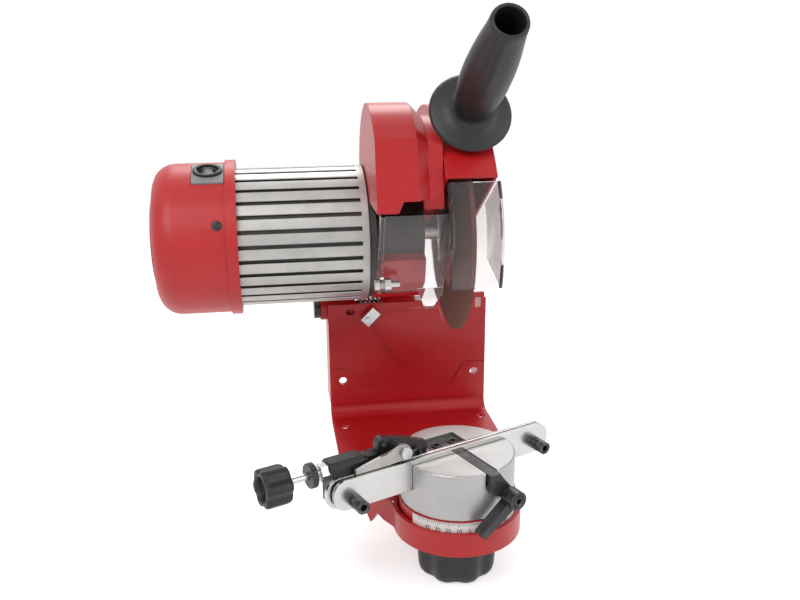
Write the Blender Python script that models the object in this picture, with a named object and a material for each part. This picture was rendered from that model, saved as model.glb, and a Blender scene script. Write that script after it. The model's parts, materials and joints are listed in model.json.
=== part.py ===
"""Electric chainsaw sharpener: bench stand, hinged grinding head, turntable with chain vice.

Metres, +Z up. The origin is the middle of the foot's underside, which rests on the bench.
+X is along the motor towards the wheel, -Y is towards the user.
"""
import math

import bmesh
import bpy
from mathutils import Matrix, Vector

for old in list(bpy.data.objects):
    bpy.data.objects.remove(old, do_unlink=True)

# Shared fits and finenesses
GAP = 0.0003              # clearance between two pieces that touch
RUNNING_GAP = 0.0006      # clearance round what turns or slides
OVERRUN = 0.002           # how far a cut runs past the face it leaves
OVERLAP = 0.0008          # how far joined shapes run into each other
FINE_ROUND = 36
MID_ROUND = 20
SMALL_ROUND = 10
HEX = 6
SHARP_ANGLE = math.radians(32)

# Round cup of the stand, on the turntable's axis and clear in front of the foot
FOOT_FRONT_Y = -0.0390
CUP_RADIUS = 0.0479
CUP_BEFORE_FOOT = 0.0021
TABLE_X = 0.0165
TABLE_Y = FOOT_FRONT_Y - CUP_RADIUS - CUP_BEFORE_FOOT
CUP_WALL = 0.0030
CUP_RIM_Z = -0.0178
CUP_BOTTOM_Z = -0.0358

# Stand: one red pressing, as wide as the cup and its side walls need
SHEET = 0.003
STAND_BESIDE_CUP = 0.0029
STAND_HALF_WIDTH = TABLE_X + CUP_RADIUS + STAND_BESIDE_CUP
UPRIGHT_FRONT_Y = 0.035
UPRIGHT_TOP_Z = 0.1025
RAISED_TAB_TOP_Z = 0.1075
RAISED_TAB_INSET = 0.0138
RAISED_TAB_LEFT_X = STAND_HALF_WIDTH - RAISED_TAB_INSET
RAISED_TAB_SIDE = 0.0015
FLANGE_DEPTH = 0.035
FLANGE_TOP_LEFT_Z = 0.084
FLANGE_TOP_RIGHT_Z = 0.098
FLANGE_CHAMFER = 0.008
BEND_RADIUS = 0.010
BEND_STEPS = 5
APRON_BOTTOM_Z = -0.042
APRON_HALF_WIDTH = 0.0415
MOUNT_HOLE_RADIUS = 0.0035
UPRIGHT_HOLE_INSETS = (0.0110, 0.0099)
UPRIGHT_HOLE_LEFT = (UPRIGHT_HOLE_INSETS[0] - STAND_HALF_WIDTH, 0.0349)
UPRIGHT_HOLE_RIGHT = (STAND_HALF_WIDTH - UPRIGHT_HOLE_INSETS[1], 0.0367)
OVAL_HOLE = (-0.0484, 0.0955)
OVAL_HOLE_RADIUS = 0.0025
OVAL_HOLE_SPREAD = 0.0015
OVAL_ROUND_SHARE = 0.98   # corner radius against half the hole's height
SIDE_SLOT_INSET = 0.0070
SIDE_SLOT = (STAND_HALF_WIDTH - SIDE_SLOT_INSET, 0.0987)
SIDE_SLOT_HALF_WIDTH = 0.0025
SIDE_SLOT_HALF_HEIGHT = 0.0045
BENCH_HOLE_RADIUS = 0.00375
BENCH_HOLE_INSETS = (0.0098, 0.0073)
BENCH_HOLE_LEFT = (BENCH_HOLE_INSETS[0] - STAND_HALF_WIDTH, 0.0113)
BENCH_HOLE_RIGHT = (STAND_HALF_WIDTH - BENCH_HOLE_INSETS[1], 0.0150)
# Lower front of the upright stands proud of the rest by this much
STEP_PROUD = 0.0012
STEP_HIGH_Z = 0.0455
STEP_LOW_Z = 0.0265
STEP_LEFT_TOP_X = -0.0530
STEP_LEFT_LOW_X = -0.0395
STEP_RIGHT_LOW_X = 0.0376
STEP_RIGHT_TOP_X = 0.0487
# Raised wedge on the upright
WEDGE_PROUD = 0.0040
WEDGE_LEFT_TOP = (-0.0319, 0.0851)
WEDGE_LEFT_LOW = (-0.0281, 0.0769)
WEDGE_POINT = (-0.0044, 0.0421)
WEDGE_RIGHT_LOW = (0.0208, 0.0546)
WEDGE_RIGHT_TOP = (0.0343, 0.0776)
WEDGE_TOP_Z = 0.0985
WEDGE_TOP_LEFT_X = -0.0215
WEDGE_TOP_RIGHT_X = 0.0280
WEDGE_FACE_SHARE = 0.84   # size of the wedge's front face against its base

# Turntable: turned sizes, let into the cup
RAIL_ANGLE = math.radians(23)
BOSS_CLEARANCE = 0.0013
SCALE_BOSS_RADIUS = CUP_RADIUS - CUP_WALL - BOSS_CLEARANCE
DRUM_STEP = 0.0010
DRUM_RADIUS = SCALE_BOSS_RADIUS - DRUM_STEP
DRUM_TOP_Z = 0.0255
DRUM_BOTTOM_Z = -0.0100
DRUM_CHAMFER = 0.0010
DRUM_SPIGOT_RADIUS = 0.0180
SCALE_TOP_Z = -0.0103
SCALE_BOTTOM_Z = -0.0195
LABEL_THICKNESS = 0.0006
LABEL_EDGE = 0.0004
LABEL_START = math.radians(-58)
LABEL_END = math.radians(60)
DECK_FRONT_Y = -0.0600
DECK_BESIDE_CUP = (0.0206, 0.0016)
DECK_LEFT_FRONT_X = TABLE_X - CUP_RADIUS - DECK_BESIDE_CUP[0]
DECK_RIGHT_FRONT_X = TABLE_X + CUP_RADIUS + DECK_BESIDE_CUP[1]
SIDE_WALL_BOTTOM_Z = -0.031
NOTCH_POINT_Z = -0.042
NOTCH_SHARES = (0.42, 0.55, 0.68, 0.80)
STUD_RADIUS = 0.0050
STUD_CLEARANCE = 0.0005
KNOB_RADIUS = 0.0310
KNOB_LOBES = 8
KNOB_LOBE_DEPTH = 0.0035
KNOB_TOP_NECK_RADIUS = 0.0150
KNOB_NECK = 0.0095
KNOB_HEIGHT = 0.0270
KNOB_STUD_COVER = 0.0040
KNOB_RIM_SHARE = 0.93    # size of the knob's end faces against its lobes

# Chain rails, in the table's own frame: +x along the rails, -y towards the user
RAIL_THICKNESS = 0.0030
CHAIN_GAP = 0.0016
RAIL_TOP_Z = 0.0290
RAIL_BOTTOM_Z = 0.0060
RAIL_LEFT = -0.1054
RAIL_RIGHT = 0.0830
REAR_RAIL_EXTRA = 0.0036
RAIL_NOSE = 0.0105
RAIL_CORNER_STEPS = 5
RAIL_FRONT_OFFSET = 0.0042
RAIL_SCREW_LEFT = (-0.0887, 0.0113)
RAIL_SCREW_RIGHT = (0.0716, 0.0133)
RAIL_SCREW_HEAD_RADIUS = 0.0050
RAIL_SCREW_HEAD = 0.0110
RAIL_SCREW_SHANK_RADIUS = 0.0025
RAIL_SCREW_SOCKET_RADIUS = 0.0025
RAIL_SCREW_SOCKET = 0.0035
RAIL_SCREW_END = 0.0020
CROSS_SLOT_HALF_WIDTH = 0.0050
POCKET_LEFT = -0.0190
POCKET_RIGHT = 0.0140
POCKET_REAR = -0.0270
POCKET_FLOOR_Z = 0.0170
POCKET_SCREW = (0.0098, 0.0180)
POCKET_SCREW_HEAD_RADIUS = 0.0035
POCKET_SCREW_HEAD = 0.0030
POCKET_SCREW_SHANK_RADIUS = 0.0018
POCKET_SCREW_LENGTH = 0.0090

# Clamp bar and lever
CLAMP_TRAVEL = 0.0007
CLAMP_BAR_HALF_WIDTH = 0.0042
CLAMP_BAR_THICKNESS = 0.0095
CLAMP_BAR_DROP = 0.0005
CLAMP_EAR = 0.0030
CLAMP_EAR_RADIUS = 0.0058
CLAMP_EAR_END = math.radians(63)
LEVER_HUB = (0.0120, 0.0060)
LEVER_HUB_RADIUS = 0.0070
LEVER_HUB_LENGTH = 0.0105
LEVER_GRIP_TIP = (-0.0165, -0.0150)
LEVER_GRIP_HALF = 0.0042
LEVER_GRIP_TIP_HALF = 0.0030
LEVER_GRIP_THICKNESS = 0.0085
LEVER_SCREW_HEAD_RADIUS = 0.0042
LEVER_SCREW_HEAD = 0.0042
LEVER_SCREW_SHANK_RADIUS = 0.0026
LEVER_SCREW_SOCKET_RADIUS = 0.0021

# Chain stop, in the table's own frame
STOP_REAR = 0.0200
STOP_LEFT = -0.1020
STOP_RIGHT = -0.0760
STOP_TOP_Z = 0.0385
STOP_BOTTOM_Z = 0.0060
STOP_CHAMFER = 0.0030
STOP_SCREW_Y = 0.0120
STOP_SCREW_END_X = -0.0610
STOP_SCREW_Z = 0.0310
STOP_SCREW_RADIUS = 0.0025
STOP_SCREW_HEAD_X = -0.1420
COLLAR_RADIUS = 0.0065
COLLAR_LENGTH = 0.0060
LOCK_NUT_RADIUS = 0.0090
LOCK_NUT_LENGTH = 0.0045
LOCK_NUT_X = -0.1144
LOCK_NUT_TEETH = 24
LOCK_NUT_TOOTH = 0.0004
ADJUST_KNOB_RADIUS = 0.0140
ADJUST_KNOB_LENGTH = 0.0200
ADJUST_KNOB_FLUTES = 6
ADJUST_KNOB_FLUTE = 0.0022
ADJUST_KNOB_WALL = 0.0035
ADJUST_KNOB_WEB = 0.0050
BRACKET_LEFT = -0.0720
BRACKET_RIGHT = -0.0225
PAWL_PIVOT = (-0.0468, 0.0362)
PAWL_Y = (-0.0019, 0.0017)
PAWL_TIP_X = -0.0864
PAWL_TIP_TOP_Z = 0.0325
PAWL_NECK_X = -0.0600
PAWL_NECK_TOP_Z = 0.0385
PAWL_EYE_RADIUS = 0.0055
PAWL_EYE_END = math.radians(111.6)
PIVOT_BOLT_RADIUS = 0.0028
PIVOT_HEAD_RADIUS = 0.0045
PIVOT_HEAD = 0.0030
BRACKET_THICKNESS = 0.0060
BRACKET_BARREL_RADIUS = 0.0045
BRACKET_BARREL_X = -0.0600
BRACKET_BARREL_Z = 0.0425
BRACKET_RIGHT_TOP_Z = 0.0350
BRACKET_EYE_RADIUS = 0.0070
BRACKET_EYE_SHARE = 0.8    # height of the eye's shoulder against its radius
BRACKET_BARREL_ARC = (math.radians(81), math.radians(198))
BRACKET_PAD_X = (-0.0700, -0.0520)
BRACKET_PAD_Z = (0.0120, 0.0280)
BRACKET_BOSS_LENGTH = 0.0120
BRACKET_BOSS_HALF = 0.0050
BRACKET_SCREW = (-0.0330, 0.0300)
BRACKET_SCREW_HEAD_RADIUS = 0.0040
BRACKET_SCREW_HEAD = 0.0030
BRACKET_SCREW_SHANK_RADIUS = 0.0021
STOP_PIN_RADIUS = 0.0021
STOP_PIN_PROUD = 0.0022

# Hinge of the grinding head
HINGE_Y = 0.050
HINGE_Z = 0.096
KNUCKLE_RADIUS = 0.0100
KNUCKLE_LEFT = (-0.0730, -0.0500)
KNUCKLE_RIGHT = (-0.0160, 0.0070)
EAR_WIDTH = 0.0060
HINGE_PIN_RADIUS = 0.0050
HINGE_PIN_HEAD_RADIUS = 0.0085
HINGE_PIN_HEAD = 0.0050
HINGE_PIN_END = 0.0040
HINGE_NUT_RADIUS = 0.0092
HINGE_NUT_LENGTH = 0.0060
SPRING_WIRE_RADIUS = 0.0011
SPRING_COIL_RADIUS = 0.0080
SPRING_TURNS = 5
SPRING_POINTS = 9
SPRING_LEG = 0.0150

# Head: places along X, radii about the motor axis
AXIS_Y = -0.0570
AXIS_Z = 0.1850
CAP_END_X = -0.1895
CAP_PANEL_X = -0.1910
CAP_PANEL_RADIUS = 0.0300
TUBE_RADIUS = 0.0476
CAP_OVER_TUBE = 0.0042
CAP_RADIUS = TUBE_RADIUS + CAP_OVER_TUBE
CAP_RING_PROUD = 0.0016
CAP_RING_RADIUS = CAP_RADIUS + CAP_RING_PROUD
CAP_RING_X = (-0.1410, -0.1340)
CAP_CORNER = 0.0150
CAP_CORNER_STEPS = 6
CAP_WALL = 0.0028
CAP_VENTS = 7
CAP_VENT_WIDTH = 0.0030
CAP_VENT_PITCH = 0.0055
CAP_VENT_X = (-0.1830, -0.1500)
CAP_SCREWS = 2
CAP_SCREW_X = -0.1467
CAP_SCREW_FIRST = math.radians(21.5)
CAP_SCREW_HEAD_RADIUS = 0.0032
CAP_SCREW_HEAD = 0.0014
CAP_SCREW_CROWN_SHARE = 0.8    # top of the head against its rim
CAP_SCREW_SHANK_RADIUS = 0.0016
CAP_SCREW_LENGTH = 0.0060
TUBE_X = (-0.1375, -0.0473)
TUBE_WALL = 0.0056
TUBE_BORE = TUBE_RADIUS - TUBE_WALL
TUBE_GROOVES = 30
TUBE_GROOVE_WIDTH = 0.0026
TUBE_GROOVE_DEPTH = 0.0022
TUBE_GROOVE_END_X = -0.0527
TUBE_GROOVE_FIRST = math.radians(2.1)
FRONT_PLATE_X = (-0.0470, -0.0430)
FRONT_PLATE_INSET = 0.0014
FRONT_PLATE_RADIUS = TUBE_RADIUS - FRONT_PLATE_INSET
FRONT_PLATE_SPIGOT = 0.0040
HOUSING_X = (-0.0427, -0.0080)
HOUSING_RADIUS = 0.0300
HOUSING_BORE = 0.0150
WHEEL_BEARING_X = (-0.0210, -0.0110)
WHEEL_BEARING_RADIUS = 0.0160
MOTOR_BEARING_X = (-0.1460, -0.1390)
MOTOR_BEARING_RADIUS = 0.0110
BEARING_LIP = 0.0020
BEARING_GROOVE = 0.0006
SHAFT_RADIUS = 0.0065
SHAFT_REAR_RADIUS = 0.0040
SHAFT_WHEEL_RADIUS = 0.0058
SHAFT_END_X = 0.0275
SHAFT_REAR_X = -0.1475
REAR_PLATE_X = (-0.1365, -0.1325)
REAR_PLATE_HUB_RADIUS = 0.0145
COMMUTATOR_X = (-0.1290, -0.1170)
COMMUTATOR_RADIUS = 0.0110
COMMUTATOR_BARS = 16
COMMUTATOR_SLIT = 0.0006
COMMUTATOR_SLIT_DEPTH = 0.0012
BRUSH_SIZE = 0.0060
BRUSH_LENGTH = 0.0120
BRUSH_HOLDER_WALL = 0.0020
BRUSH_PLATE_X = (-0.1320, -0.1300)
BRUSH_PLATE_CLEARANCE = 0.0020
BRUSH_PLATE_RADIUS = TUBE_BORE - BRUSH_PLATE_CLEARANCE
CORE_X = (-0.1080, -0.0720)
CORE_RADIUS = 0.0245
CORE_SLOTS = 12
CORE_SLOT_WIDTH = 0.0030
CORE_SLOT_DEPTH = 0.0050
WINDING_LENGTH = 0.0060
WINDING_RADIUS = 0.0190
MAGNET_X = (-0.1120, -0.0680)
MAGNET_INNER = 0.0260
MAGNET_SPAN = math.radians(130)
MAGNET_STEPS = 14
FAN_X = (-0.0630, -0.0530)
FAN_CLEARANCE = 0.0050
FAN_RADIUS = TUBE_BORE - FAN_CLEARANCE
FAN_HUB_RADIUS = 0.0120
FAN_DISC = 0.0020
FAN_BLADES = 9
FAN_BLADE = 0.0016
SWITCH_ELEVATION = math.radians(70)
SWITCH_X = -0.1517
SWITCH_HALF_LENGTH = 0.0105
SWITCH_HALF_WIDTH = 0.0125
SWITCH_PLATE_PROUD = 0.0010
SWITCH_PLATE = 0.0026
SWITCH_SHELL_SHARE = 1.5    # outside of the shell that trims the plate against the cap
SWITCH_WELL = (0.0066, 0.0050)
SWITCH_ROCKER_RADIUS = 0.0056
SWITCH_ROCKER_GAP = 0.0005
SWITCH_ROCKER_PROUD = 0.0014
SWITCH_BODY_DEPTH = 0.0140
GLAND_X = -0.1620
GLAND_RADIUS = 0.0065
GLAND_BORE = 0.0035
GLAND_LENGTH = 0.0160
GLAND_COLLAR_RADIUS = 0.0090
GLAND_COLLAR = 0.0025
GLAND_ELEVATION = math.radians(200)

# Grinding wheel and its clamping
WHEEL_X = 0.0150
WHEEL_RADIUS = 0.0725
WHEEL_THICKNESS = 0.0032
WHEEL_BORE = 0.01115
INNER_FLANGE_RADIUS = 0.0250
INNER_FLANGE_X = 0.0080
INNER_FLANGE_PLATE = 0.0040
OUTER_FLANGE_RADIUS = 0.0250
OUTER_FLANGE_PLATE = 0.0030
FLANGE_RELIEF = 0.0010
FLANGE_LAND = 0.0040
SPINDLE_NUT_RADIUS = 0.0098
SPINDLE_NUT_LENGTH = 0.0050

# Arm: outline in the plane square to the hinge, from the head's axis (Y back, Z up)
ARM_X = (-0.0425, -0.0085)
ARM_NECK_X = (-0.0730, 0.0070)
ARM_CRADLE_FRONT = (-0.0375, -0.0120)
ARM_CRADLE_LOW = (-0.0330, -0.0300)
ARM_CRADLE_HEEL = (-0.0160, -0.0440)
ARM_BELLY = (0.0500, -0.0520)
ARM_SHOULDER = (0.0600, -0.0180)
ARM_CRADLE_REAR = (0.0330, 0.0160)
# Places from the hinge: along the arm, then square to it and upwards
ARM_ROOT = ((0.0240, 0.0070), (0.0240, 0.0180))
NECK_OUTLINE = ((0.0135, 0.0098), (0.0190, 0.0072), (0.0270, 0.0030), (0.0260, 0.0205), (0.0060, 0.0205),
                (-0.0040, 0.0170))
NECK_WEB = ((-0.0022, 0.0145), (0.0078, 0.0165), (0.0090, 0.0120), (0.0050, 0.0050), (0, 0), (-0.0070, 0.0050))
DEPTH_SCREW_X = -0.0600
DEPTH_SCREW_U = 0.0136
DEPTH_SCREW_TIP_W = 0.0064
DEPTH_SCREW_RADIUS = 0.0025
DEPTH_SCREW_LENGTH = 0.0300
DEPTH_SCREW_HEAD_RADIUS = 0.0060
DEPTH_SCREW_HEAD = 0.0060

# Arch: outline from the head's axis
ARCH_X = (-0.0470, -0.0120)
ARCH_NECK_X = -0.0030
ARCH_WALL = 0.0025
ARCH_FRONT_LOW = (-0.0800, 0.0290)
ARCH_FRONT_HIGH = (-0.0700, 0.0740)
ARCH_CROWN_CENTRE = (-0.0300, 0.0436)
ARCH_CROWN_RADIUS = 0.0490
ARCH_STEPS = 12
ARCH_REAR_LOW_Z = 0.0290
ARCH_STEP_X = (-0.0345, -0.0300)
ARCH_STEP = 0.0070
ARCH_STEP_DEPTH = 0.0100
ARCH_SHOULDER = 0.0085

# Wheel cover, clear guard and handle
COVER_X = (-0.0025, 0.0310)
COVER_RADIUS = 0.0880
COVER_WALL = 0.0022
COVER_FRONT = math.radians(34)
COVER_REAR = math.radians(190)
COVER_HUB_HOLE = 0.0265
COVER_OPEN_SHARES = (0.71, 0.60)    # far corner of the open side against the cover's inside
COVER_SEGMENTS = 30
GUARD_X = (-0.0015, 0.0335)
GUARD_RADIUS = 0.0845
GUARD_WALL = 0.0020
GUARD_TOP = math.radians(33)
GUARD_BOTTOM = math.radians(-15)
GUARD_INNER_RADIUS = 0.0440
GUARD_STEPS = 10
SHIELD_X = -0.0425
SHIELD_PATH = ((-0.0770, 0.0270), (-0.0710, 0.0080), (-0.0640, -0.0120), (-0.0560, -0.0290))
DEFLECTOR_TIP = (-0.0100, -0.0420)
DEFLECTOR_HALF = 0.0080
DEFLECTOR_TIP_HALF = 0.0025
GUARD_LUG_X = (-0.0445, -0.0425)
GUARD_LUG_REACH = 0.0060
GUARD_SCREW_AT = (-0.0672, -0.0200)
GUARD_SCREW_X = (-0.0420, -0.0316)
GUARD_SCREW_RADIUS = 0.0022
GUARD_SCREW_HEAD_RADIUS = 0.0040
GUARD_SCREW_HEAD = 0.0030
GUARD_NUT_RADIUS = 0.0045
GUARD_NUT_LENGTH = 0.0040
HANDLE_X = 0.0170
HANDLE_AT = (-0.0515, 0.0864)
HANDLE_ELEVATION = math.radians(32.2)
HANDLE_BOSS_RADIUS = 0.0120
HANDLE_BOSS_DEPTH = 0.0160
HANDLE_DISC_RADIUS = 0.0270
HANDLE_DISC = 0.0040
HANDLE_LENGTH = 0.1080
HANDLE_BORE_RADIUS = 0.0085
HANDLE_BORE_DEPTH = 0.0450
HANDLE_SECTIONS = ((0.0040, 0.0150), (0.0110, 0.0112), (0.0220, 0.0130), (0.0380, 0.0152), (0.0620, 0.0153),
                   (0.0790, 0.0138), (0.0920, 0.0122), (0.1030, 0.0112))
HANDLE_END_RADIUS = 0.0104
HANDLE_STUD_RADIUS = 0.0040
HANDLE_STUD_OUT = 0.0250

# Stop tab on the upright
TAB_CENTRE = (-0.0326, 0.0930)
TAB_SIZE = (0.0090, 0.0145)
TAB_THICKNESS = 0.0020
TAB_BLOCK = 0.0020
TAB_TURN = math.radians(-45)
TAB_SCREW_RADIUS = 0.0015
TAB_SCREW_HEAD_RADIUS = 0.0026
TAB_SCREW_HEAD = 0.0012
TAB_SCREW_LENGTH = 0.0070
TAB_SCREW_DROP = 0.0034
TAB_PAD_RADIUS = 0.0042

# Colour, roughness, metallic
RED = ((0.62, 0.020, 0.022, 1.0), 0.38, 0.0)
RED_PLASTIC = ((0.66, 0.035, 0.032, 1.0), 0.45, 0.0)
BLACK = ((0.022, 0.021, 0.022, 1.0), 0.50, 0.0)
DARK_GREY = ((0.090, 0.086, 0.082, 1.0), 0.45, 0.6)
GREY = ((0.33, 0.33, 0.33, 1.0), 0.55, 0.0)
ALUMINIUM = ((0.68, 0.66, 0.64, 1.0), 0.36, 1.0)
ZINC = ((0.80, 0.79, 0.77, 1.0), 0.28, 1.0)
STEEL = ((0.58, 0.57, 0.55, 1.0), 0.30, 1.0)
COPPER = ((0.72, 0.36, 0.18, 1.0), 0.35, 1.0)
CARBON = ((0.05, 0.05, 0.05, 1.0), 0.70, 0.0)
FERRITE = ((0.11, 0.11, 0.12, 1.0), 0.60, 0.2)
ABRASIVE = ((0.16, 0.070, 0.048, 1.0), 0.85, 0.0)
CLEAR = ((0.86, 0.85, 0.85, 1.0), 0.08, 0.0)
WHITE = ((0.88, 0.87, 0.84, 1.0), 0.45, 0.0)


def material(name, look):
    """Principled material from (colour, roughness, metallic)."""
    colour, roughness, metallic = look
    made = bpy.data.materials.new(name)
    made.use_nodes = True
    shader = made.node_tree.nodes["Principled BSDF"]
    shader.inputs["Base Color"].default_value = colour
    shader.inputs["Roughness"].default_value = roughness
    shader.inputs["Metallic"].default_value = metallic
    made.diffuse_color = colour
    return made


def to_mesh(shape, name):
    bmesh.ops.recalc_face_normals(shape, faces=shape.faces)
    mesh = bpy.data.meshes.new(name)
    shape.to_mesh(mesh)
    shape.free()
    return mesh


def spread(axis, along, across, up):
    """Point from a place along the named axis and two places square to it."""
    if axis == "X":
        return (along, across, up)
    if axis == "Y":
        return (across, along, up)
    return (across, up, along)


def turned(profile, axis="X", rounds=MID_ROUND, centre=(0, 0)):
    """Closed (along, radius) profile turned about the axis through centre."""
    shape = bmesh.new()
    rings = []
    for along, radius in profile:
        if radius <= 0:
            rings.append([shape.verts.new(spread(axis, along, centre[0], centre[1]))])
            continue
        ring = []
        for i in range(rounds):
            a = math.tau * i / rounds
            across = centre[0] + radius * math.cos(a)
            up = centre[1] + radius * math.sin(a)
            ring.append(shape.verts.new(spread(axis, along, across, up)))
        rings.append(ring)
    for k in range(len(rings)):
        a, b = rings[k], rings[(k + 1) % len(rings)]
        if len(a) == 1 and len(b) == 1:
            continue
        for i in range(rounds):
            j = (i + 1) % rounds
            if len(a) == 1:
                shape.faces.new((a[0], b[i], b[j]))
            elif len(b) == 1:
                shape.faces.new((a[i], b[0], a[j]))
            else:
                shape.faces.new((a[i], b[i], b[j], a[j]))
    return to_mesh(shape, "turned")


def rod(radius, low, high, axis="X", centre=(0, 0), rounds=MID_ROUND):
    """Plain round bar."""
    return turned([(low, 0), (low, radius), (high, radius), (high, 0)], axis, rounds, centre)


def ring(inner, outer, low, high, axis="X", centre=(0, 0), rounds=MID_ROUND):
    """Plain round ring."""
    profile = [(low, inner), (low, outer), (high, outer), (high, inner)]
    return turned(profile, axis, rounds, centre)


def extruded(outline, low, high, axis="X"):
    """Flat outline drawn square to the axis and pulled from low to high."""
    shape = bmesh.new()
    near = [shape.verts.new(spread(axis, low, a, b)) for a, b in outline]
    far = [shape.verts.new(spread(axis, high, a, b)) for a, b in outline]
    shape.faces.new(near)
    shape.faces.new(list(reversed(far)))
    for i in range(len(outline)):
        j = (i + 1) % len(outline)
        shape.faces.new((near[i], near[j], far[j], far[i]))
    return to_mesh(shape, "extruded")


def lofted(sections):
    """Solid through equal-length loops of 3-D points, capped at both ends."""
    shape = bmesh.new()
    loops = [[shape.verts.new(p) for p in section] for section in sections]
    for a, b in zip(loops, loops[1:]):
        for i in range(len(a)):
            j = (i + 1) % len(a)
            shape.faces.new((a[i], a[j], b[j], b[i]))
    shape.faces.new(loops[0])
    shape.faces.new(list(reversed(loops[-1])))
    return to_mesh(shape, "lofted")


def block(x, y, z):
    """Box between the ends given along each axis."""
    outline = [(y[0], z[0]), (y[1], z[0]), (y[1], z[1]), (y[0], z[1])]
    return extruded(outline, x[0], x[1], "X")


def group(meshes):
    """One mesh that holds several separate shapes."""
    shape = bmesh.new()
    for mesh in meshes:
        shape.from_mesh(mesh)
    return to_mesh(shape, "group")


def moved(mesh, offset=(0, 0, 0), angle=0, axis="X"):
    """Turn a shape about an axis through the frame's origin, then shift it."""
    mesh.transform(Matrix.Translation(Vector(offset)) @ Matrix.Rotation(angle, 4, axis))
    return mesh


def frame(name, parent=None, location=(0, 0, 0), rotation=(0, 0, 0)):
    """Empty that carries the pieces of one moving group."""
    empty = bpy.data.objects.new(name, None)
    bpy.context.collection.objects.link(empty)
    empty.parent = parent
    empty.location = location
    empty.rotation_euler = rotation
    return empty


def piece(name, mesh, look, parent=None):
    """Named piece with its own material, in its parent's frame."""
    mesh.name = name
    mesh.materials.clear()
    mesh.materials.append(material(name + "_finish", look))
    made = bpy.data.objects.new(name, mesh)
    bpy.context.collection.objects.link(made)
    made.parent = parent
    mesh.shade_smooth()
    mesh.set_sharp_from_angle(angle=SHARP_ANGLE)
    return made


def combine(owner, mesh, operation):
    """Boolean with a hidden shape in the owner's frame."""
    other = bpy.data.objects.new(owner.name + "_tool", mesh)
    bpy.context.collection.objects.link(other)
    other.parent = owner.parent
    other.hide_render = True
    other.display_type = "WIRE"
    step = owner.modifiers.new(operation.lower(), "BOOLEAN")
    step.operation = operation
    step.solver = "EXACT"
    step.object = other
    return owner


def add(owner, mesh):
    return combine(owner, mesh, "UNION")


def cut(owner, mesh):
    return combine(owner, mesh, "DIFFERENCE")


def arc(centre, radius, start, end, steps):
    """Points on a circle, angles from the first axis towards the second."""
    points = []
    for i in range(steps + 1):
        a = start + (end - start) * i / steps
        points.append((centre[0] + radius * math.cos(a), centre[1] + radius * math.sin(a)))
    return points


def front_arc(radius, start, end, steps):
    """Points about the head's axis, elevation 0 facing the user (-Y)."""
    return [(-a, b) for a, b in arc((0, 0), radius, start, end, steps)]


def hexagon(radius, low, high, axis="X", centre=(0, 0)):
    """Nut or hexagon head measured over its corners."""
    return rod(radius, low, high, axis, centre, HEX)


def socket_screw(head_radius, head, shank_radius, length, socket_radius, socket, axis, at, way):
    """Socket-head screw: head on the low side of at, shank towards way."""
    base = at[0]
    top = base - way * head
    floor = top + way * socket
    profile = [(base + way * length, 0), (base + way * length, shank_radius), (base, shank_radius),
               (base, head_radius), (top, head_radius), (top, socket_radius), (floor, socket_radius),
               (floor, 0)]
    return turned(profile, axis, SMALL_ROUND, (at[1], at[2]))


def rounded(x, z, radius, steps):
    """Rectangle outline with round corners, from its ends along both axes."""
    r = radius
    points = arc((x[1] - r, z[1] - r), r, 0, math.pi / 2, steps)
    points += arc((x[0] + r, z[1] - r), r, math.pi / 2, math.pi, steps)
    points += arc((x[0] + r, z[0] + r), r, math.pi, math.pi * 3 / 2, steps)
    points += arc((x[1] - r, z[0] + r), r, math.pi * 3 / 2, math.tau, steps)
    return points


def stand_plates():
    """Foot and upright with the bend between them, then flanges, apron and deck."""
    rear = UPRIGHT_FRONT_Y + SHEET
    centre = (UPRIGHT_FRONT_Y - BEND_RADIUS, SHEET + BEND_RADIUS)
    outer = arc(centre, BEND_RADIUS + SHEET, -math.pi / 2, 0, BEND_STEPS)
    inner = arc(centre, BEND_RADIUS, 0, -math.pi / 2, BEND_STEPS)
    section = [(FOOT_FRONT_Y, 0)] + outer + [(rear, UPRIGHT_TOP_Z), (UPRIGHT_FRONT_Y, UPRIGHT_TOP_Z)]
    section += inner + [(FOOT_FRONT_Y, SHEET)]
    stand = piece("base_bracket", extruded(section, -STAND_HALF_WIDTH, STAND_HALF_WIDTH), RED)
    inside = STAND_HALF_WIDTH - SHEET
    back = rear + FLANGE_DEPTH
    for side, top in ((-1, FLANGE_TOP_LEFT_Z), (1, FLANGE_TOP_RIGHT_Z)):
        low, high = sorted((side * inside, side * (STAND_HALF_WIDTH - OVERLAP / 2)))
        outline = [(rear - OVERLAP, BEND_RADIUS), (back, BEND_RADIUS), (back, top - FLANGE_CHAMFER),
                   (back - FLANGE_CHAMFER, top), (rear - OVERLAP, top)]
        add(stand, extruded(outline, low, high))
    tab = block((RAISED_TAB_LEFT_X, STAND_HALF_WIDTH - RAISED_TAB_SIDE),
                (UPRIGHT_FRONT_Y, rear), (UPRIGHT_TOP_Z - OVERLAP, RAISED_TAB_TOP_Z))
    add(stand, tab)
    add(stand, block((-APRON_HALF_WIDTH, APRON_HALF_WIDTH), (FOOT_FRONT_Y, FOOT_FRONT_Y + SHEET),
                     (APRON_BOTTOM_Z, OVERLAP)))
    return stand


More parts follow.
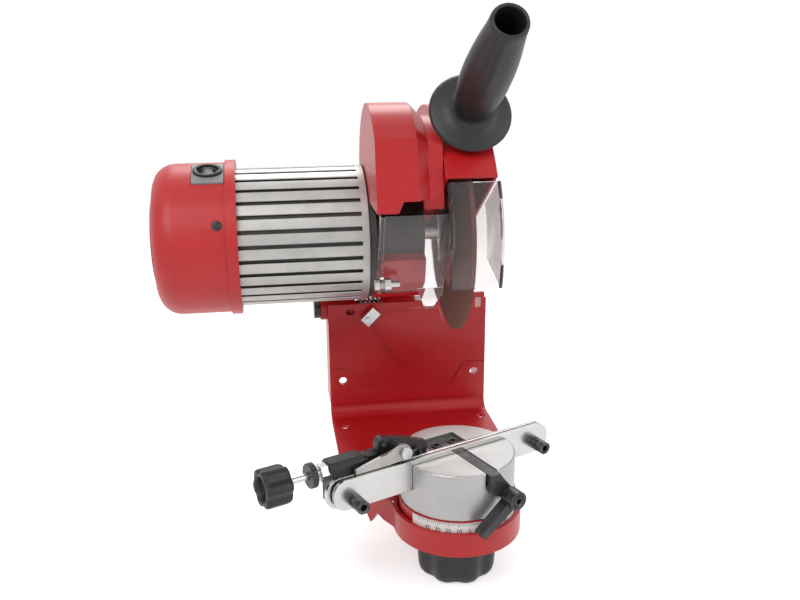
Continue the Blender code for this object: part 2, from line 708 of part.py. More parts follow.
def stand_cup(stand):
    """Deck, side walls and the round cup that carries the turntable."""
    centre = (TABLE_X, TABLE_Y)
    deck = [(-STAND_HALF_WIDTH, FOOT_FRONT_Y + OVERLAP), (-STAND_HALF_WIDTH, FOOT_FRONT_Y),
            (DECK_LEFT_FRONT_X, DECK_FRONT_Y), (DECK_RIGHT_FRONT_X, DECK_FRONT_Y),
            (STAND_HALF_WIDTH, FOOT_FRONT_Y), (STAND_HALF_WIDTH, FOOT_FRONT_Y + OVERLAP)]
    add(stand, extruded(deck, 0, SHEET, "Z"))
    inner = CUP_RADIUS - CUP_WALL
    profile = [(CUP_BOTTOM_Z, 0), (CUP_BOTTOM_Z, CUP_RADIUS), (CUP_RIM_Z, CUP_RADIUS), (CUP_RIM_Z, inner),
               (CUP_BOTTOM_Z + CUP_WALL, inner), (CUP_BOTTOM_Z + CUP_WALL, 0)]
    add(stand, turned(profile, "Z", FINE_ROUND, centre))
    # Rear half of the cup's wall runs up to the deck
    start = math.asin((DECK_FRONT_Y + OVERRUN - TABLE_Y) / CUP_RADIUS)
    band = arc(centre, CUP_RADIUS - OVERLAP / 4, start, math.pi - start, FINE_ROUND // 3)
    band += arc(centre, inner + OVERLAP / 4, math.pi - start, start, FINE_ROUND // 3)
    add(stand, extruded(band, CUP_RIM_Z - OVERLAP, SHEET / 2, "Z"))
    for side in (-1, 1):
        corner = Vector((side * (STAND_HALF_WIDTH - SHEET), FOOT_FRONT_Y))
        cheek = Vector((TABLE_X + side * (CUP_RADIUS - CUP_WALL / 2), TABLE_Y))
        run = cheek - corner
        length = run.length
        low = SIDE_WALL_BOTTOM_Z
        marks = [length * share for share in NOTCH_SHARES]
        outline = [(0, SHEET - OVERLAP), (0, low), (marks[0], low), (marks[1], NOTCH_POINT_Z), (marks[2], low),
                   (marks[3], low - SHEET), (length, CUP_BOTTOM_Z + OVERLAP), (length, CUP_RIM_Z - OVERLAP)]
        wall = extruded(outline, -SHEET / 2, SHEET / 2, "Y")
        moved(wall, (corner.x, corner.y, 0), math.atan2(run.y, run.x), "Z")
        add(stand, wall)
    cut(stand, rod(inner, CUP_BOTTOM_Z + CUP_WALL, SHEET + OVERRUN, "Z", centre, FINE_ROUND))
    cut(stand, rod(STUD_RADIUS + STUD_CLEARANCE, CUP_BOTTOM_Z - OVERRUN, CUP_BOTTOM_Z + CUP_WALL + OVERRUN,
                   "Z", centre))


def stand_embossing(stand):
    """Step across the upright's foot and the raised wedge above it."""
    half = STAND_HALF_WIDTH - OVERLAP
    low = SHEET + BEND_RADIUS + OVERLAP
    step = [(-half, low), (half, low), (half, STEP_HIGH_Z), (STEP_RIGHT_TOP_X, STEP_HIGH_Z),
            (STEP_RIGHT_LOW_X, STEP_LOW_Z), (STEP_LEFT_LOW_X, STEP_LOW_Z), (STEP_LEFT_TOP_X, STEP_HIGH_Z),
            (-half, STEP_HIGH_Z)]
    add(stand, extruded(step, UPRIGHT_FRONT_Y - STEP_PROUD, UPRIGHT_FRONT_Y + OVERLAP, "Y"))
    base = [WEDGE_LEFT_LOW, WEDGE_POINT, WEDGE_RIGHT_LOW, WEDGE_RIGHT_TOP, (WEDGE_TOP_RIGHT_X, WEDGE_TOP_Z),
            (WEDGE_TOP_LEFT_X, WEDGE_TOP_Z), WEDGE_LEFT_TOP]
    middle_x = sum(p[0] for p in base) / len(base)
    middle_z = sum(p[1] for p in base) / len(base)
    face = []
    for x, z in base:
        face.append((middle_x + (x - middle_x) * WEDGE_FACE_SHARE,
                     middle_z + (z - middle_z) * WEDGE_FACE_SHARE))
    loops = [[(x, UPRIGHT_FRONT_Y + OVERLAP, z) for x, z in base],
             [(x, UPRIGHT_FRONT_Y - WEDGE_PROUD, z) for x, z in face]]
    add(stand, lofted(loops))


def stand_holes(stand):
    front = UPRIGHT_FRONT_Y - WEDGE_PROUD - OVERRUN
    back = UPRIGHT_FRONT_Y + SHEET + OVERRUN
    tools = [rod(MOUNT_HOLE_RADIUS, front, back, "Y", UPRIGHT_HOLE_LEFT, SMALL_ROUND),
             rod(MOUNT_HOLE_RADIUS, front, back, "Y", UPRIGHT_HOLE_RIGHT, SMALL_ROUND)]
    x, z = OVAL_HOLE
    reach = OVAL_HOLE_RADIUS + OVAL_HOLE_SPREAD
    tools.append(extruded(rounded((x - reach, x + reach), (z - OVAL_HOLE_RADIUS, z + OVAL_HOLE_RADIUS),
                                  OVAL_HOLE_RADIUS * OVAL_ROUND_SHARE, RAIL_CORNER_STEPS), front, back, "Y"))
    x, z = SIDE_SLOT
    tools.append(block((x - SIDE_SLOT_HALF_WIDTH, x + SIDE_SLOT_HALF_WIDTH), (front, back),
                       (z - SIDE_SLOT_HALF_HEIGHT, z + SIDE_SLOT_HALF_HEIGHT)))
    for hole in (BENCH_HOLE_LEFT, BENCH_HOLE_RIGHT):
        tools.append(rod(BENCH_HOLE_RADIUS, -OVERRUN, SHEET + OVERRUN, "Z", hole, SMALL_ROUND))
    tools.append(rod(TAB_SCREW_RADIUS + GAP, front, back, "Y", tab_screw_place(), SMALL_ROUND))
    cut(stand, group(tools))


def ears():
    """Places along X of the two ears that hold the hinge pin."""
    left = (KNUCKLE_LEFT[1] + GAP, KNUCKLE_LEFT[1] + GAP + EAR_WIDTH)
    right = (KNUCKLE_RIGHT[0] - GAP - EAR_WIDTH, KNUCKLE_RIGHT[0] - GAP)
    return left, right


def stand_ears(stand):
    rear = UPRIGHT_FRONT_Y + SHEET
    for low, high in ears():
        outline = [(rear - OVERLAP, HINGE_Z - KNUCKLE_RADIUS * 2), (HINGE_Y, HINGE_Z - KNUCKLE_RADIUS)]
        outline += arc((HINGE_Y, HINGE_Z), KNUCKLE_RADIUS, -math.pi / 2, math.pi * 0.75, FINE_ROUND // 4)
        outline += [(rear - OVERLAP, HINGE_Z + KNUCKLE_RADIUS / 2)]
        add(stand, extruded(outline[:1] + outline[2:], low, high))
        cut(stand, rod(HINGE_PIN_RADIUS + GAP, low - OVERLAP / 2, high + OVERLAP / 2, "X", (HINGE_Y, HINGE_Z)))


def make_stand():
    stand = stand_plates()
    stand_cup(stand)
    stand_embossing(stand)
    stand_ears(stand)
    stand_tab_pad(stand)
    stand_holes(stand)


def make_hinge():
    """Pin through both knuckles and ears, its nut and the return spring."""
    centre = (HINGE_Y, HINGE_Z)
    head = KNUCKLE_LEFT[0] - GAP
    nut = KNUCKLE_RIGHT[1] + GAP
    end = nut + HINGE_NUT_LENGTH + HINGE_PIN_END
    profile = [(head - HINGE_PIN_HEAD, 0), (head - HINGE_PIN_HEAD, HINGE_PIN_HEAD_RADIUS),
               (head, HINGE_PIN_HEAD_RADIUS), (head, HINGE_PIN_RADIUS), (end, HINGE_PIN_RADIUS), (end, 0)]
    piece("hinge_pin", turned(profile, "X", MID_ROUND, centre), ZINC)
    lock = piece("hinge_nut", hexagon(HINGE_NUT_RADIUS, nut, nut + HINGE_NUT_LENGTH, "X", centre), ZINC)
    cut(lock, rod(HINGE_PIN_RADIUS + GAP, nut - OVERRUN, nut + HINGE_NUT_LENGTH + OVERRUN, "X", centre))
    left, right = ears()
    low = left[1] + SPRING_WIRE_RADIUS + GAP
    high = right[0] - SPRING_WIRE_RADIUS - GAP
    path = []
    count = SPRING_TURNS * SPRING_POINTS
    # The first leg lies along the upright's back, the last under the arm
    start = math.pi
    stop_y = UPRIGHT_FRONT_Y + SHEET + SPRING_WIRE_RADIUS + GAP
    spring_r = min(SPRING_COIL_RADIUS, HINGE_Y - stop_y)
    for i in range(count + 1):
        a = start + math.tau * i / SPRING_POINTS
        x = low + (high - low) * i / count
        path.append(Vector((x, HINGE_Y + spring_r * math.cos(a), HINGE_Z + spring_r * math.sin(a))))
    path.insert(0, path[0] + Vector((0, 0, SPRING_LEG * -1)))
    path.append(path[-1] + Vector((0, 0, SPRING_LEG)))
    least = min((a - b).length for i, a in enumerate(path[1:-1]) for b in path[i + 1 + SPRING_POINTS // 2:-1])
    print("return spring: least gap to itself", round((least - 2 * SPRING_WIRE_RADIUS) * 1000, 2), "mm")
    curve = bpy.data.curves.new("return_spring", "CURVE")
    curve.dimensions = "3D"
    curve.bevel_depth = SPRING_WIRE_RADIUS
    curve.bevel_resolution = 1
    curve.use_fill_caps = True
    line = curve.splines.new("POLY")
    line.points.add(len(path) - 1)
    for point, place in zip(line.points, path):
        point.co = (place.x, place.y, place.z, 1)
    curve.materials.append(material("return_spring_finish", STEEL))
    made = bpy.data.objects.new("return_spring", curve)
    bpy.context.collection.objects.link(made)


def tab_screw_place():
    """The tab's screw as (x, z) on the upright."""
    x, z = TAB_CENTRE
    return (x - TAB_SCREW_DROP * math.sin(-TAB_TURN), z - TAB_SCREW_DROP * math.cos(TAB_TURN))


def stand_tab_pad(stand):
    """Round pad on the upright, level with the wedge's face, that the tab is screwed to."""
    hole = tab_screw_place()
    face = UPRIGHT_FRONT_Y - WEDGE_PROUD
    add(stand, rod(TAB_PAD_RADIUS, face, UPRIGHT_FRONT_Y + OVERLAP, "Y", hole))
    depth = TAB_SCREW_LENGTH - TAB_BLOCK - TAB_THICKNESS
    cut(stand, rod(TAB_SCREW_RADIUS + GAP, face - OVERRUN, face + depth + GAP, "Y", hole, SMALL_ROUND))


def make_stop_tab():
    """Zinc tab set at an angle, with its screw."""
    x, z = TAB_CENTRE
    front = UPRIGHT_FRONT_Y - WEDGE_PROUD
    half_w = TAB_SIZE[0] / 2
    half_h = TAB_SIZE[1] / 2
    tab = block((-half_w, half_w), (-TAB_BLOCK - TAB_THICKNESS, 0), (-half_h, half_h))
    made = piece("stop_tab", moved(tab, (x, front - GAP, z), -TAB_TURN, "Y"), ZINC)
    hole = tab_screw_place()
    face = front - GAP - TAB_BLOCK - TAB_THICKNESS
    cut(made, rod(TAB_SCREW_RADIUS + GAP, face - OVERRUN, front + OVERRUN, "Y", hole, SMALL_ROUND))
    base = face - GAP
    profile = [(base + TAB_SCREW_LENGTH, 0), (base + TAB_SCREW_LENGTH, TAB_SCREW_RADIUS),
               (base, TAB_SCREW_RADIUS), (base, TAB_SCREW_HEAD_RADIUS), (base - TAB_SCREW_HEAD, TAB_SCREW_HEAD_RADIUS),
               (base - TAB_SCREW_HEAD, 0)]
    piece("stop_tab_screw", turned(profile, "Y", SMALL_ROUND, hole), STEEL)


def make_scale():
    centre = (TABLE_X, TABLE_Y)
    floor = CUP_BOTTOM_Z + CUP_WALL + GAP
    boss = ring(DRUM_SPIGOT_RADIUS + RUNNING_GAP, SCALE_BOSS_RADIUS, floor, SCALE_TOP_Z, "Z", centre, FINE_ROUND)
    piece("scale_boss", boss, RED)
    low = SCALE_BOTTOM_Z
    high = SCALE_TOP_Z - LABEL_EDGE
    start = -math.pi / 2 + LABEL_START
    end = -math.pi / 2 + LABEL_END
    inner = SCALE_BOSS_RADIUS + GAP / 2
    band = arc(centre, inner + LABEL_THICKNESS, start, end, FINE_ROUND // 3)
    band += arc(centre, inner, end, start, FINE_ROUND // 3)
    piece("scale_label", extruded(band, low, high, "Z"), WHITE)


def rail_places():
    """Front and back faces of both rails along the table frame's Y."""
    front = -RAIL_FRONT_OFFSET
    rear = front + RAIL_THICKNESS + CHAIN_GAP
    return (front, front + RAIL_THICKNESS), (rear, rear + RAIL_THICKNESS)


def make_drum(table):
    profile = [(DRUM_TOP_Z, 0), (DRUM_TOP_Z, DRUM_RADIUS - DRUM_CHAMFER),
               (DRUM_TOP_Z - DRUM_CHAMFER, DRUM_RADIUS), (DRUM_BOTTOM_Z, DRUM_RADIUS), (DRUM_BOTTOM_Z, DRUM_SPIGOT_RADIUS),
               (CUP_BOTTOM_Z + CUP_WALL + RUNNING_GAP, DRUM_SPIGOT_RADIUS),
               (CUP_BOTTOM_Z + CUP_WALL + RUNNING_GAP, 0)]
    drum = piece("turntable_drum", turned(profile, "Z", FINE_ROUND), ALUMINIUM, table)
    front, rear = rail_places()
    wide = DRUM_RADIUS + OVERRUN
    top = DRUM_TOP_Z + OVERRUN
    cut(drum, block((-wide, wide), (front[0] - GAP, rear[1] + GAP), (RAIL_BOTTOM_Z - GAP, top)))
    cut(drum, block((-CROSS_SLOT_HALF_WIDTH, CROSS_SLOT_HALF_WIDTH), (-wide, front[0] + OVERLAP),
                    (DRUM_TOP_Z - CLAMP_BAR_DROP - CLAMP_BAR_THICKNESS - GAP, top)))
    pocket = block((POCKET_LEFT, POCKET_RIGHT), (rear[1] + RAIL_THICKNESS, -POCKET_REAR), (POCKET_FLOOR_Z, top))
    cut(drum, pocket)
    hole = POCKET_SCREW_SHANK_RADIUS + GAP
    cut(drum, rod(hole, POCKET_FLOOR_Z - POCKET_SCREW_LENGTH - GAP, POCKET_FLOOR_Z + OVERLAP, "Z", POCKET_SCREW,
                  SMALL_ROUND))
    cut(drum, rod(STUD_RADIUS + GAP, CUP_BOTTOM_Z, stud_top() + GAP, "Z"))


def stud_top():
    return RAIL_BOTTOM_Z - RAIL_THICKNESS


def make_table_fasteners(table):
    """Centre stud and pocket screw."""
    knob = CUP_BOTTOM_Z - GAP
    bottom = knob - KNOB_NECK - KNOB_HEIGHT + KNOB_STUD_COVER
    piece("centre_stud", rod(STUD_RADIUS, bottom + GAP, stud_top(), "Z"), STEEL, table)
    base = POCKET_FLOOR_Z + GAP
    profile = [(base - POCKET_SCREW_LENGTH, 0), (base - POCKET_SCREW_LENGTH, POCKET_SCREW_SHANK_RADIUS),
               (base, POCKET_SCREW_SHANK_RADIUS), (base, POCKET_SCREW_HEAD_RADIUS),
               (base + POCKET_SCREW_HEAD, POCKET_SCREW_HEAD_RADIUS), (base + POCKET_SCREW_HEAD, 0)]
    piece("pocket_screw", turned(profile, "Z", SMALL_ROUND, POCKET_SCREW), STEEL, table)


def lobed(radius, depth, lobes, per_lobe):
    points = []
    for i in range(lobes * per_lobe):
        a = math.tau * i / (lobes * per_lobe)
        r = radius - depth * math.sin(lobes * a / 2) ** 4
        points.append((r * math.cos(a), r * math.sin(a)))
    return points


def make_star_knob(table):
    top = CUP_BOTTOM_Z - GAP
    body_top = top - KNOB_NECK
    bottom = body_top - KNOB_HEIGHT
    outline = lobed(KNOB_RADIUS, KNOB_LOBE_DEPTH, KNOB_LOBES, 8)
    slim = [(x * KNOB_RIM_SHARE, y * KNOB_RIM_SHARE) for x, y in outline]
    edge = KNOB_LOBE_DEPTH / 2
    loops = [[(x, y, z) for x, y in shape] for shape, z in
             ((slim, body_top), (outline, body_top - edge), (outline, bottom + edge), (slim, bottom))]
    knob = piece("star_knob", lofted(loops), BLACK, table)
    add(knob, rod(KNOB_TOP_NECK_RADIUS, body_top - OVERLAP, top, "Z"))
    cut(knob, rod(STUD_RADIUS + GAP, bottom + KNOB_STUD_COVER, top + OVERRUN, "Z"))


def screw_holes(low, high):
    tools = []
    for x, z in (RAIL_SCREW_LEFT, RAIL_SCREW_RIGHT):
        hole = rod(RAIL_SCREW_SHANK_RADIUS + GAP, low - OVERRUN, high + OVERRUN, "Y", (x, z), SMALL_ROUND)
        tools.append(hole)
    return group(tools)


def make_rails(table, slide):
    front, rear = rail_places()
    z = (RAIL_BOTTOM_Z, RAIL_TOP_Z)
    long = extruded(rounded((RAIL_LEFT - REAR_RAIL_EXTRA, RAIL_RIGHT), z, RAIL_NOSE, RAIL_CORNER_STEPS),
                    rear[0], rear[1], "Y")
    cut(piece("rear_rail", long, ZINC, table), screw_holes(rear[0], rear[1]))
    short = extruded(rounded((RAIL_LEFT, RAIL_RIGHT), z, RAIL_NOSE, RAIL_CORNER_STEPS), front[0], front[1], "Y")
    cut(piece("front_rail", short, ZINC, slide), screw_holes(front[0], front[1]))
    for name, (x, z) in (("rail_screw_left", RAIL_SCREW_LEFT), ("rail_screw_right", RAIL_SCREW_RIGHT)):
        base = front[0] - GAP
        length = rear[1] + GAP + RAIL_SCREW_END - base
        screw = socket_screw(RAIL_SCREW_HEAD_RADIUS, RAIL_SCREW_HEAD, RAIL_SCREW_SHANK_RADIUS, length,
                             RAIL_SCREW_SOCKET_RADIUS, RAIL_SCREW_SOCKET, "Y", (base, x, z), 1)
        piece(name, screw, BLACK, table)


def lever_places():
    """Back of the ear, back of the hub and front of the hub, towards the user."""
    ear = DRUM_RADIUS + CLAMP_TRAVEL + GAP * 2
    hub = ear + CLAMP_EAR + GAP
    return ear, hub, hub + LEVER_HUB_LENGTH


def make_clamp(slide, lever):
    front, rear = rail_places()
    ear, hub, end = lever_places()
    top = DRUM_TOP_Z - CLAMP_BAR_DROP
    low = top - CLAMP_BAR_THICKNESS
    half = CLAMP_BAR_HALF_WIDTH
    bar = piece("clamp_bar", block((-half, half), (-ear - CLAMP_EAR, front[0] - GAP), (low, top)), BLACK, slide)
    x, z = LEVER_HUB
    r = CLAMP_EAR_RADIUS
    outline = [(-half, low + OVERLAP), (-half, low - half), (x - r, z)]
    outline += arc((x, z), r, math.pi, math.tau + CLAMP_EAR_END, FINE_ROUND // 4)[1:]
    outline += [(half, top - OVERLAP), (-half, top - OVERLAP)]
    add(bar, extruded(outline, -ear - CLAMP_EAR, -ear, "Y"))
    cut(bar, rod(LEVER_SCREW_SHANK_RADIUS + GAP, -ear - CLAMP_EAR - OVERRUN, -ear + OVERRUN, "Y", (x, z)))
    grip = LEVER_GRIP_TIP
    run = Vector((grip[0] - x, grip[1] - z))
    side = Vector((-run.y, run.x)).normalized()
    wide = side * LEVER_GRIP_HALF
    slim = side * LEVER_GRIP_TIP_HALF
    tip = Vector(grip)
    centre = Vector((x, z))
    shape = [centre + wide, tip + slim, tip - slim, centre - wide]
    handle = extruded([(p.x - x, p.y - z) for p in shape], -hub - LEVER_GRIP_THICKNESS, -hub, "Y")
    made = piece("clamp_lever", handle, BLACK, lever)
    add(made, rod(LEVER_HUB_RADIUS, -end, -hub, "Y", (0, 0)))
    cut(made, rod(LEVER_SCREW_SHANK_RADIUS + GAP, -end - OVERRUN, -hub + OVERRUN, "Y"))
    seat = end - LEVER_SCREW_HEAD + GAP
    cut(made, rod(LEVER_SCREW_HEAD_RADIUS + GAP, -end - OVERRUN, -seat + GAP, "Y"))
    length = seat - ear
    screw = socket_screw(LEVER_SCREW_HEAD_RADIUS, LEVER_SCREW_HEAD, LEVER_SCREW_SHANK_RADIUS, length,
                         LEVER_SCREW_SOCKET_RADIUS, LEVER_SCREW_HEAD / 2, "Y", (-seat, x, z), 1)
    piece("clamp_lever_screw", screw, STEEL, slide)


def make_stop(table, screw_frame, nut_frame, carriage, pawl_frame):
    front, rear = rail_places()
    face = rear[1] + GAP
    centre = (STOP_SCREW_Y, STOP_SCREW_Z)
    y = (face, STOP_REAR)
    outline = [(y[0], STOP_BOTTOM_Z), (y[1], STOP_BOTTOM_Z), (y[1], STOP_TOP_Z - STOP_CHAMFER),
               (y[1] - STOP_CHAMFER, STOP_TOP_Z), (y[0] + STOP_CHAMFER, STOP_TOP_Z),
               (y[0], STOP_TOP_Z - STOP_CHAMFER)]
    housing = piece("stop_housing", extruded(outline, STOP_LEFT, STOP_RIGHT), BLACK, table)
    cut(housing, rod(STOP_SCREW_RADIUS + RUNNING_GAP, STOP_LEFT - OVERRUN, STOP_RIGHT + OVERRUN, "X", centre))
    cut(housing, rod(RAIL_SCREW_SHANK_RADIUS + GAP, face - OVERRUN, face + GAP * 2 + RAIL_SCREW_END, "Y",
                     RAIL_SCREW_LEFT))
    here = (0, 0)
    knob_low = STOP_SCREW_HEAD_X - ADJUST_KNOB_LENGTH / 2
    knob_high = knob_low + ADJUST_KNOB_LENGTH
    screw = rod(STOP_SCREW_RADIUS, knob_low + ADJUST_KNOB_WEB + GAP, STOP_SCREW_END_X, "X", here)
    screw = piece("adjusting_screw", screw, ZINC, screw_frame)
    low = STOP_LEFT - GAP - COLLAR_LENGTH
    add(screw, hexagon(COLLAR_RADIUS, low, low + COLLAR_LENGTH, "X"))
    outline = lobed(ADJUST_KNOB_RADIUS, ADJUST_KNOB_FLUTE, ADJUST_KNOB_FLUTES, 8)
    knob = piece("adjusting_knob", extruded(outline, knob_low, knob_high, "X"), BLACK, screw_frame)
    inner = ADJUST_KNOB_RADIUS - ADJUST_KNOB_FLUTE - ADJUST_KNOB_WALL
    cut(knob, rod(inner, knob_low - OVERRUN, knob_low + ADJUST_KNOB_WEB, "X"))
    cut(knob, rod(STOP_SCREW_RADIUS + GAP, knob_low, knob_high + OVERRUN, "X"))
    low = LOCK_NUT_X - LOCK_NUT_LENGTH / 2
    outline = lobed(LOCK_NUT_RADIUS, LOCK_NUT_TOOTH, LOCK_NUT_TEETH, 2)
    nut = piece("lock_nut", extruded(outline, low, low + LOCK_NUT_LENGTH, "X"), BLACK, nut_frame)
    cut(nut, rod(STOP_SCREW_RADIUS + GAP, low - OVERRUN, low + LOCK_NUT_LENGTH + OVERRUN, "X"))
    make_bracket(carriage, face, centre)
    make_pawl(carriage, pawl_frame)


def bracket_face():
    front, rear = rail_places()
    return rear[1] + GAP * 2 + BRACKET_SCREW_HEAD


def make_bracket(carriage, face, centre):
    """Black plate behind the rails: barrel, pivot eye, nut boss and sliding pad."""
    near = bracket_face()
    far = near + BRACKET_THICKNESS
    px, pz = PAWL_PIVOT
    low = DRUM_TOP_Z + RUNNING_GAP
    bx, bz = BRACKET_BARREL_X, BRACKET_BARREL_Z
    r = BRACKET_BARREL_RADIUS
    pad_x, pad_z = BRACKET_PAD_X, BRACKET_PAD_Z
    shoulder = pz + BRACKET_EYE_RADIUS * BRACKET_EYE_SHARE
    outline = [(pad_x[0], pad_z[0]), (pad_x[1], pad_z[0]), (pad_x[1], low), (BRACKET_RIGHT, low),
               (BRACKET_RIGHT, BRACKET_RIGHT_TOP_Z), (px + BRACKET_EYE_RADIUS, shoulder)]
    outline += arc((bx, bz), r, BRACKET_BARREL_ARC[0], BRACKET_BARREL_ARC[1], BEND_STEPS + 1)
    outline += [(pad_x[0] + r, pz - r), (pad_x[0], STOP_SCREW_Z)]
    bracket = piece("stop_bracket", extruded(outline, near, far, "Y"), BLACK, carriage)
    add(bracket, block(pad_x, (face, near + OVERLAP), pad_z))
    add(bracket, rod(STOP_PIN_RADIUS, near - STOP_PIN_PROUD, far + STOP_PIN_PROUD, "Y", (bx, bz), SMALL_ROUND))
    y, z = centre
    half = BRACKET_BOSS_HALF
    boss_right = BRACKET_LEFT + BRACKET_BOSS_LENGTH
    add(bracket, block((BRACKET_LEFT, boss_right), (y - half, y + half), (z - half, z + half)))
    cut(bracket, rod(STOP_SCREW_RADIUS + RUNNING_GAP, BRACKET_LEFT - OVERRUN, boss_right + OVERRUN, "X",
                     centre))
    for (x, z), radius in ((PAWL_PIVOT, PIVOT_BOLT_RADIUS), (BRACKET_SCREW, BRACKET_SCREW_SHANK_RADIUS)):
        cut(bracket, rod(radius + GAP, near - OVERRUN, far + OVERRUN, "Y", (x, z), SMALL_ROUND))
    x, z = BRACKET_SCREW
    screw = socket_screw(BRACKET_SCREW_HEAD_RADIUS, BRACKET_SCREW_HEAD, BRACKET_SCREW_SHANK_RADIUS,
                         BRACKET_THICKNESS + GAP, BRACKET_SCREW_SHANK_RADIUS, BRACKET_SCREW_HEAD / 2, "Y",
                         (near - GAP, x, z), 1)
    piece("bracket_screw", screw, BLACK, carriage)


def make_pawl(carriage, pawl_frame):
    """Silver arm on its bolt; its tip rests on top of the rails."""
    px, pz = PAWL_PIVOT
    low = RAIL_TOP_Z + GAP - pz
    tip = PAWL_TIP_X - px
    neck = PAWL_NECK_X - px
    outline = [(tip, low), (neck, low), (0, -PAWL_EYE_RADIUS)]
    outline += arc((0, 0), PAWL_EYE_RADIUS, -math.pi / 2, PAWL_EYE_END, FINE_ROUND // 4)[1:]
    outline += [(neck, PAWL_NECK_TOP_Z - pz), (tip, PAWL_TIP_TOP_Z - pz)]
    pawl = piece("stop_pawl", extruded(outline, PAWL_Y[0], PAWL_Y[1], "Y"), ZINC, pawl_frame)
    cut(pawl, rod(PIVOT_BOLT_RADIUS + GAP, PAWL_Y[0] - OVERRUN, PAWL_Y[1] + OVERRUN, "Y", (0, 0), SMALL_ROUND))
    base = PAWL_Y[0] - GAP
    far = bracket_face() + BRACKET_THICKNESS + PIVOT_HEAD
    shoulder = PAWL_Y[1] + GAP
    collar = PIVOT_HEAD_RADIUS
    profile = [(far, 0), (far, PIVOT_BOLT_RADIUS), (bracket_face() - GAP, PIVOT_BOLT_RADIUS),
               (bracket_face() - GAP, collar), (shoulder, collar), (shoulder, PIVOT_BOLT_RADIUS),
               (base, PIVOT_BOLT_RADIUS), (base, PIVOT_HEAD_RADIUS), (base - PIVOT_HEAD, PIVOT_HEAD_RADIUS),
               (base - PIVOT_HEAD, 0)]
    piece("pawl_pivot_bolt", turned(profile, "Y", SMALL_ROUND, PAWL_PIVOT), ZINC, carriage)


def make_end_cap(head):
    """Red cap with a rolled rear edge, a raised end panel, vents and a well for the switch."""
    wall = CAP_WALL
    corner = (CAP_END_X + CAP_CORNER, CAP_RADIUS - CAP_CORNER)
    outside = [(CAP_PANEL_X, 0), (CAP_PANEL_X, CAP_PANEL_RADIUS), (CAP_END_X, CAP_PANEL_RADIUS)]
    outside += arc(corner, CAP_CORNER, math.pi, math.pi / 2, CAP_CORNER_STEPS)
    outside += [(CAP_RING_X[0], CAP_RADIUS), (CAP_RING_X[0], CAP_RING_RADIUS), (CAP_RING_X[1], CAP_RING_RADIUS)]
    seat = TUBE_RADIUS + GAP
    inside = [(CAP_RING_X[1], seat), (TUBE_X[0] - GAP, seat), (TUBE_X[0] - GAP, TUBE_BORE),
              (CAP_RING_X[0] - wall, TUBE_BORE)]
    inside += [(CAP_RING_X[0] - wall * 2, CAP_RADIUS - wall)]
    inside += list(reversed(arc(corner, CAP_CORNER - wall, math.pi, math.pi / 2, CAP_CORNER_STEPS)))
    inside += [(CAP_END_X + wall, 0)]
    cap = piece("end_cap", turned(outside + inside, "X", FINE_ROUND), RED_PLASTIC, head)
    tools = []
    for i in range(CAP_VENTS):
        y = (i - (CAP_VENTS - 1) / 2) * CAP_VENT_PITCH
        half = CAP_VENT_WIDTH / 2
        tools.append(block(CAP_VENT_X, (y - half, y + half), (-CAP_RADIUS - OVERRUN, -CAP_RADIUS + CAP_CORNER)))
    cut(cap, group(tools))
    well = block((SWITCH_X - SWITCH_HALF_LENGTH - GAP, SWITCH_X + SWITCH_HALF_LENGTH + GAP),
                 (-SWITCH_HALF_WIDTH - GAP, SWITCH_HALF_WIDTH + GAP),
                 (CAP_RADIUS - CAP_CORNER, CAP_RADIUS + OVERRUN))
    cut(cap, moved(well, angle=switch_turn()))
    holes = [moved(rod(CAP_SCREW_SHANK_RADIUS + GAP, TUBE_BORE - OVERRUN, CAP_RING_RADIUS + OVERRUN, "Z",
                       (CAP_SCREW_X, 0), SMALL_ROUND), angle=a) for a in cap_screw_turns()]
    cut(cap, group(holes))
    cut(cap, moved(rod(GLAND_RADIUS + GAP, CAP_RADIUS - CAP_CORNER, CAP_RADIUS + OVERRUN, "Z", (GLAND_X, 0)),
                   angle=gland_turn()))
    base = CAP_RADIUS + GAP
    for name, a in zip(("end_cap_screw_front", "end_cap_screw_rear"), cap_screw_turns()):
        profile = [(base - CAP_SCREW_LENGTH, 0), (base - CAP_SCREW_LENGTH, CAP_SCREW_SHANK_RADIUS),
                   (base, CAP_SCREW_SHANK_RADIUS), (base, CAP_SCREW_HEAD_RADIUS),
                   (base + CAP_SCREW_HEAD, CAP_SCREW_HEAD_RADIUS * CAP_SCREW_CROWN_SHARE),
                   (base + CAP_SCREW_HEAD, 0)]
        piece(name, moved(turned(profile, "Z", SMALL_ROUND, (CAP_SCREW_X, 0)), angle=a), BLACK, head)


def elevation_turn(elevation):
    """Turn about X that carries the top of the head to an elevation facing the user."""
    return math.pi / 2 - elevation


def switch_turn():
    return elevation_turn(SWITCH_ELEVATION)


def gland_turn():
    return elevation_turn(GLAND_ELEVATION)


def cap_screw_turns():
    return [elevation_turn(CAP_SCREW_FIRST + math.tau * i / CAP_SCREWS) for i in range(CAP_SCREWS)]


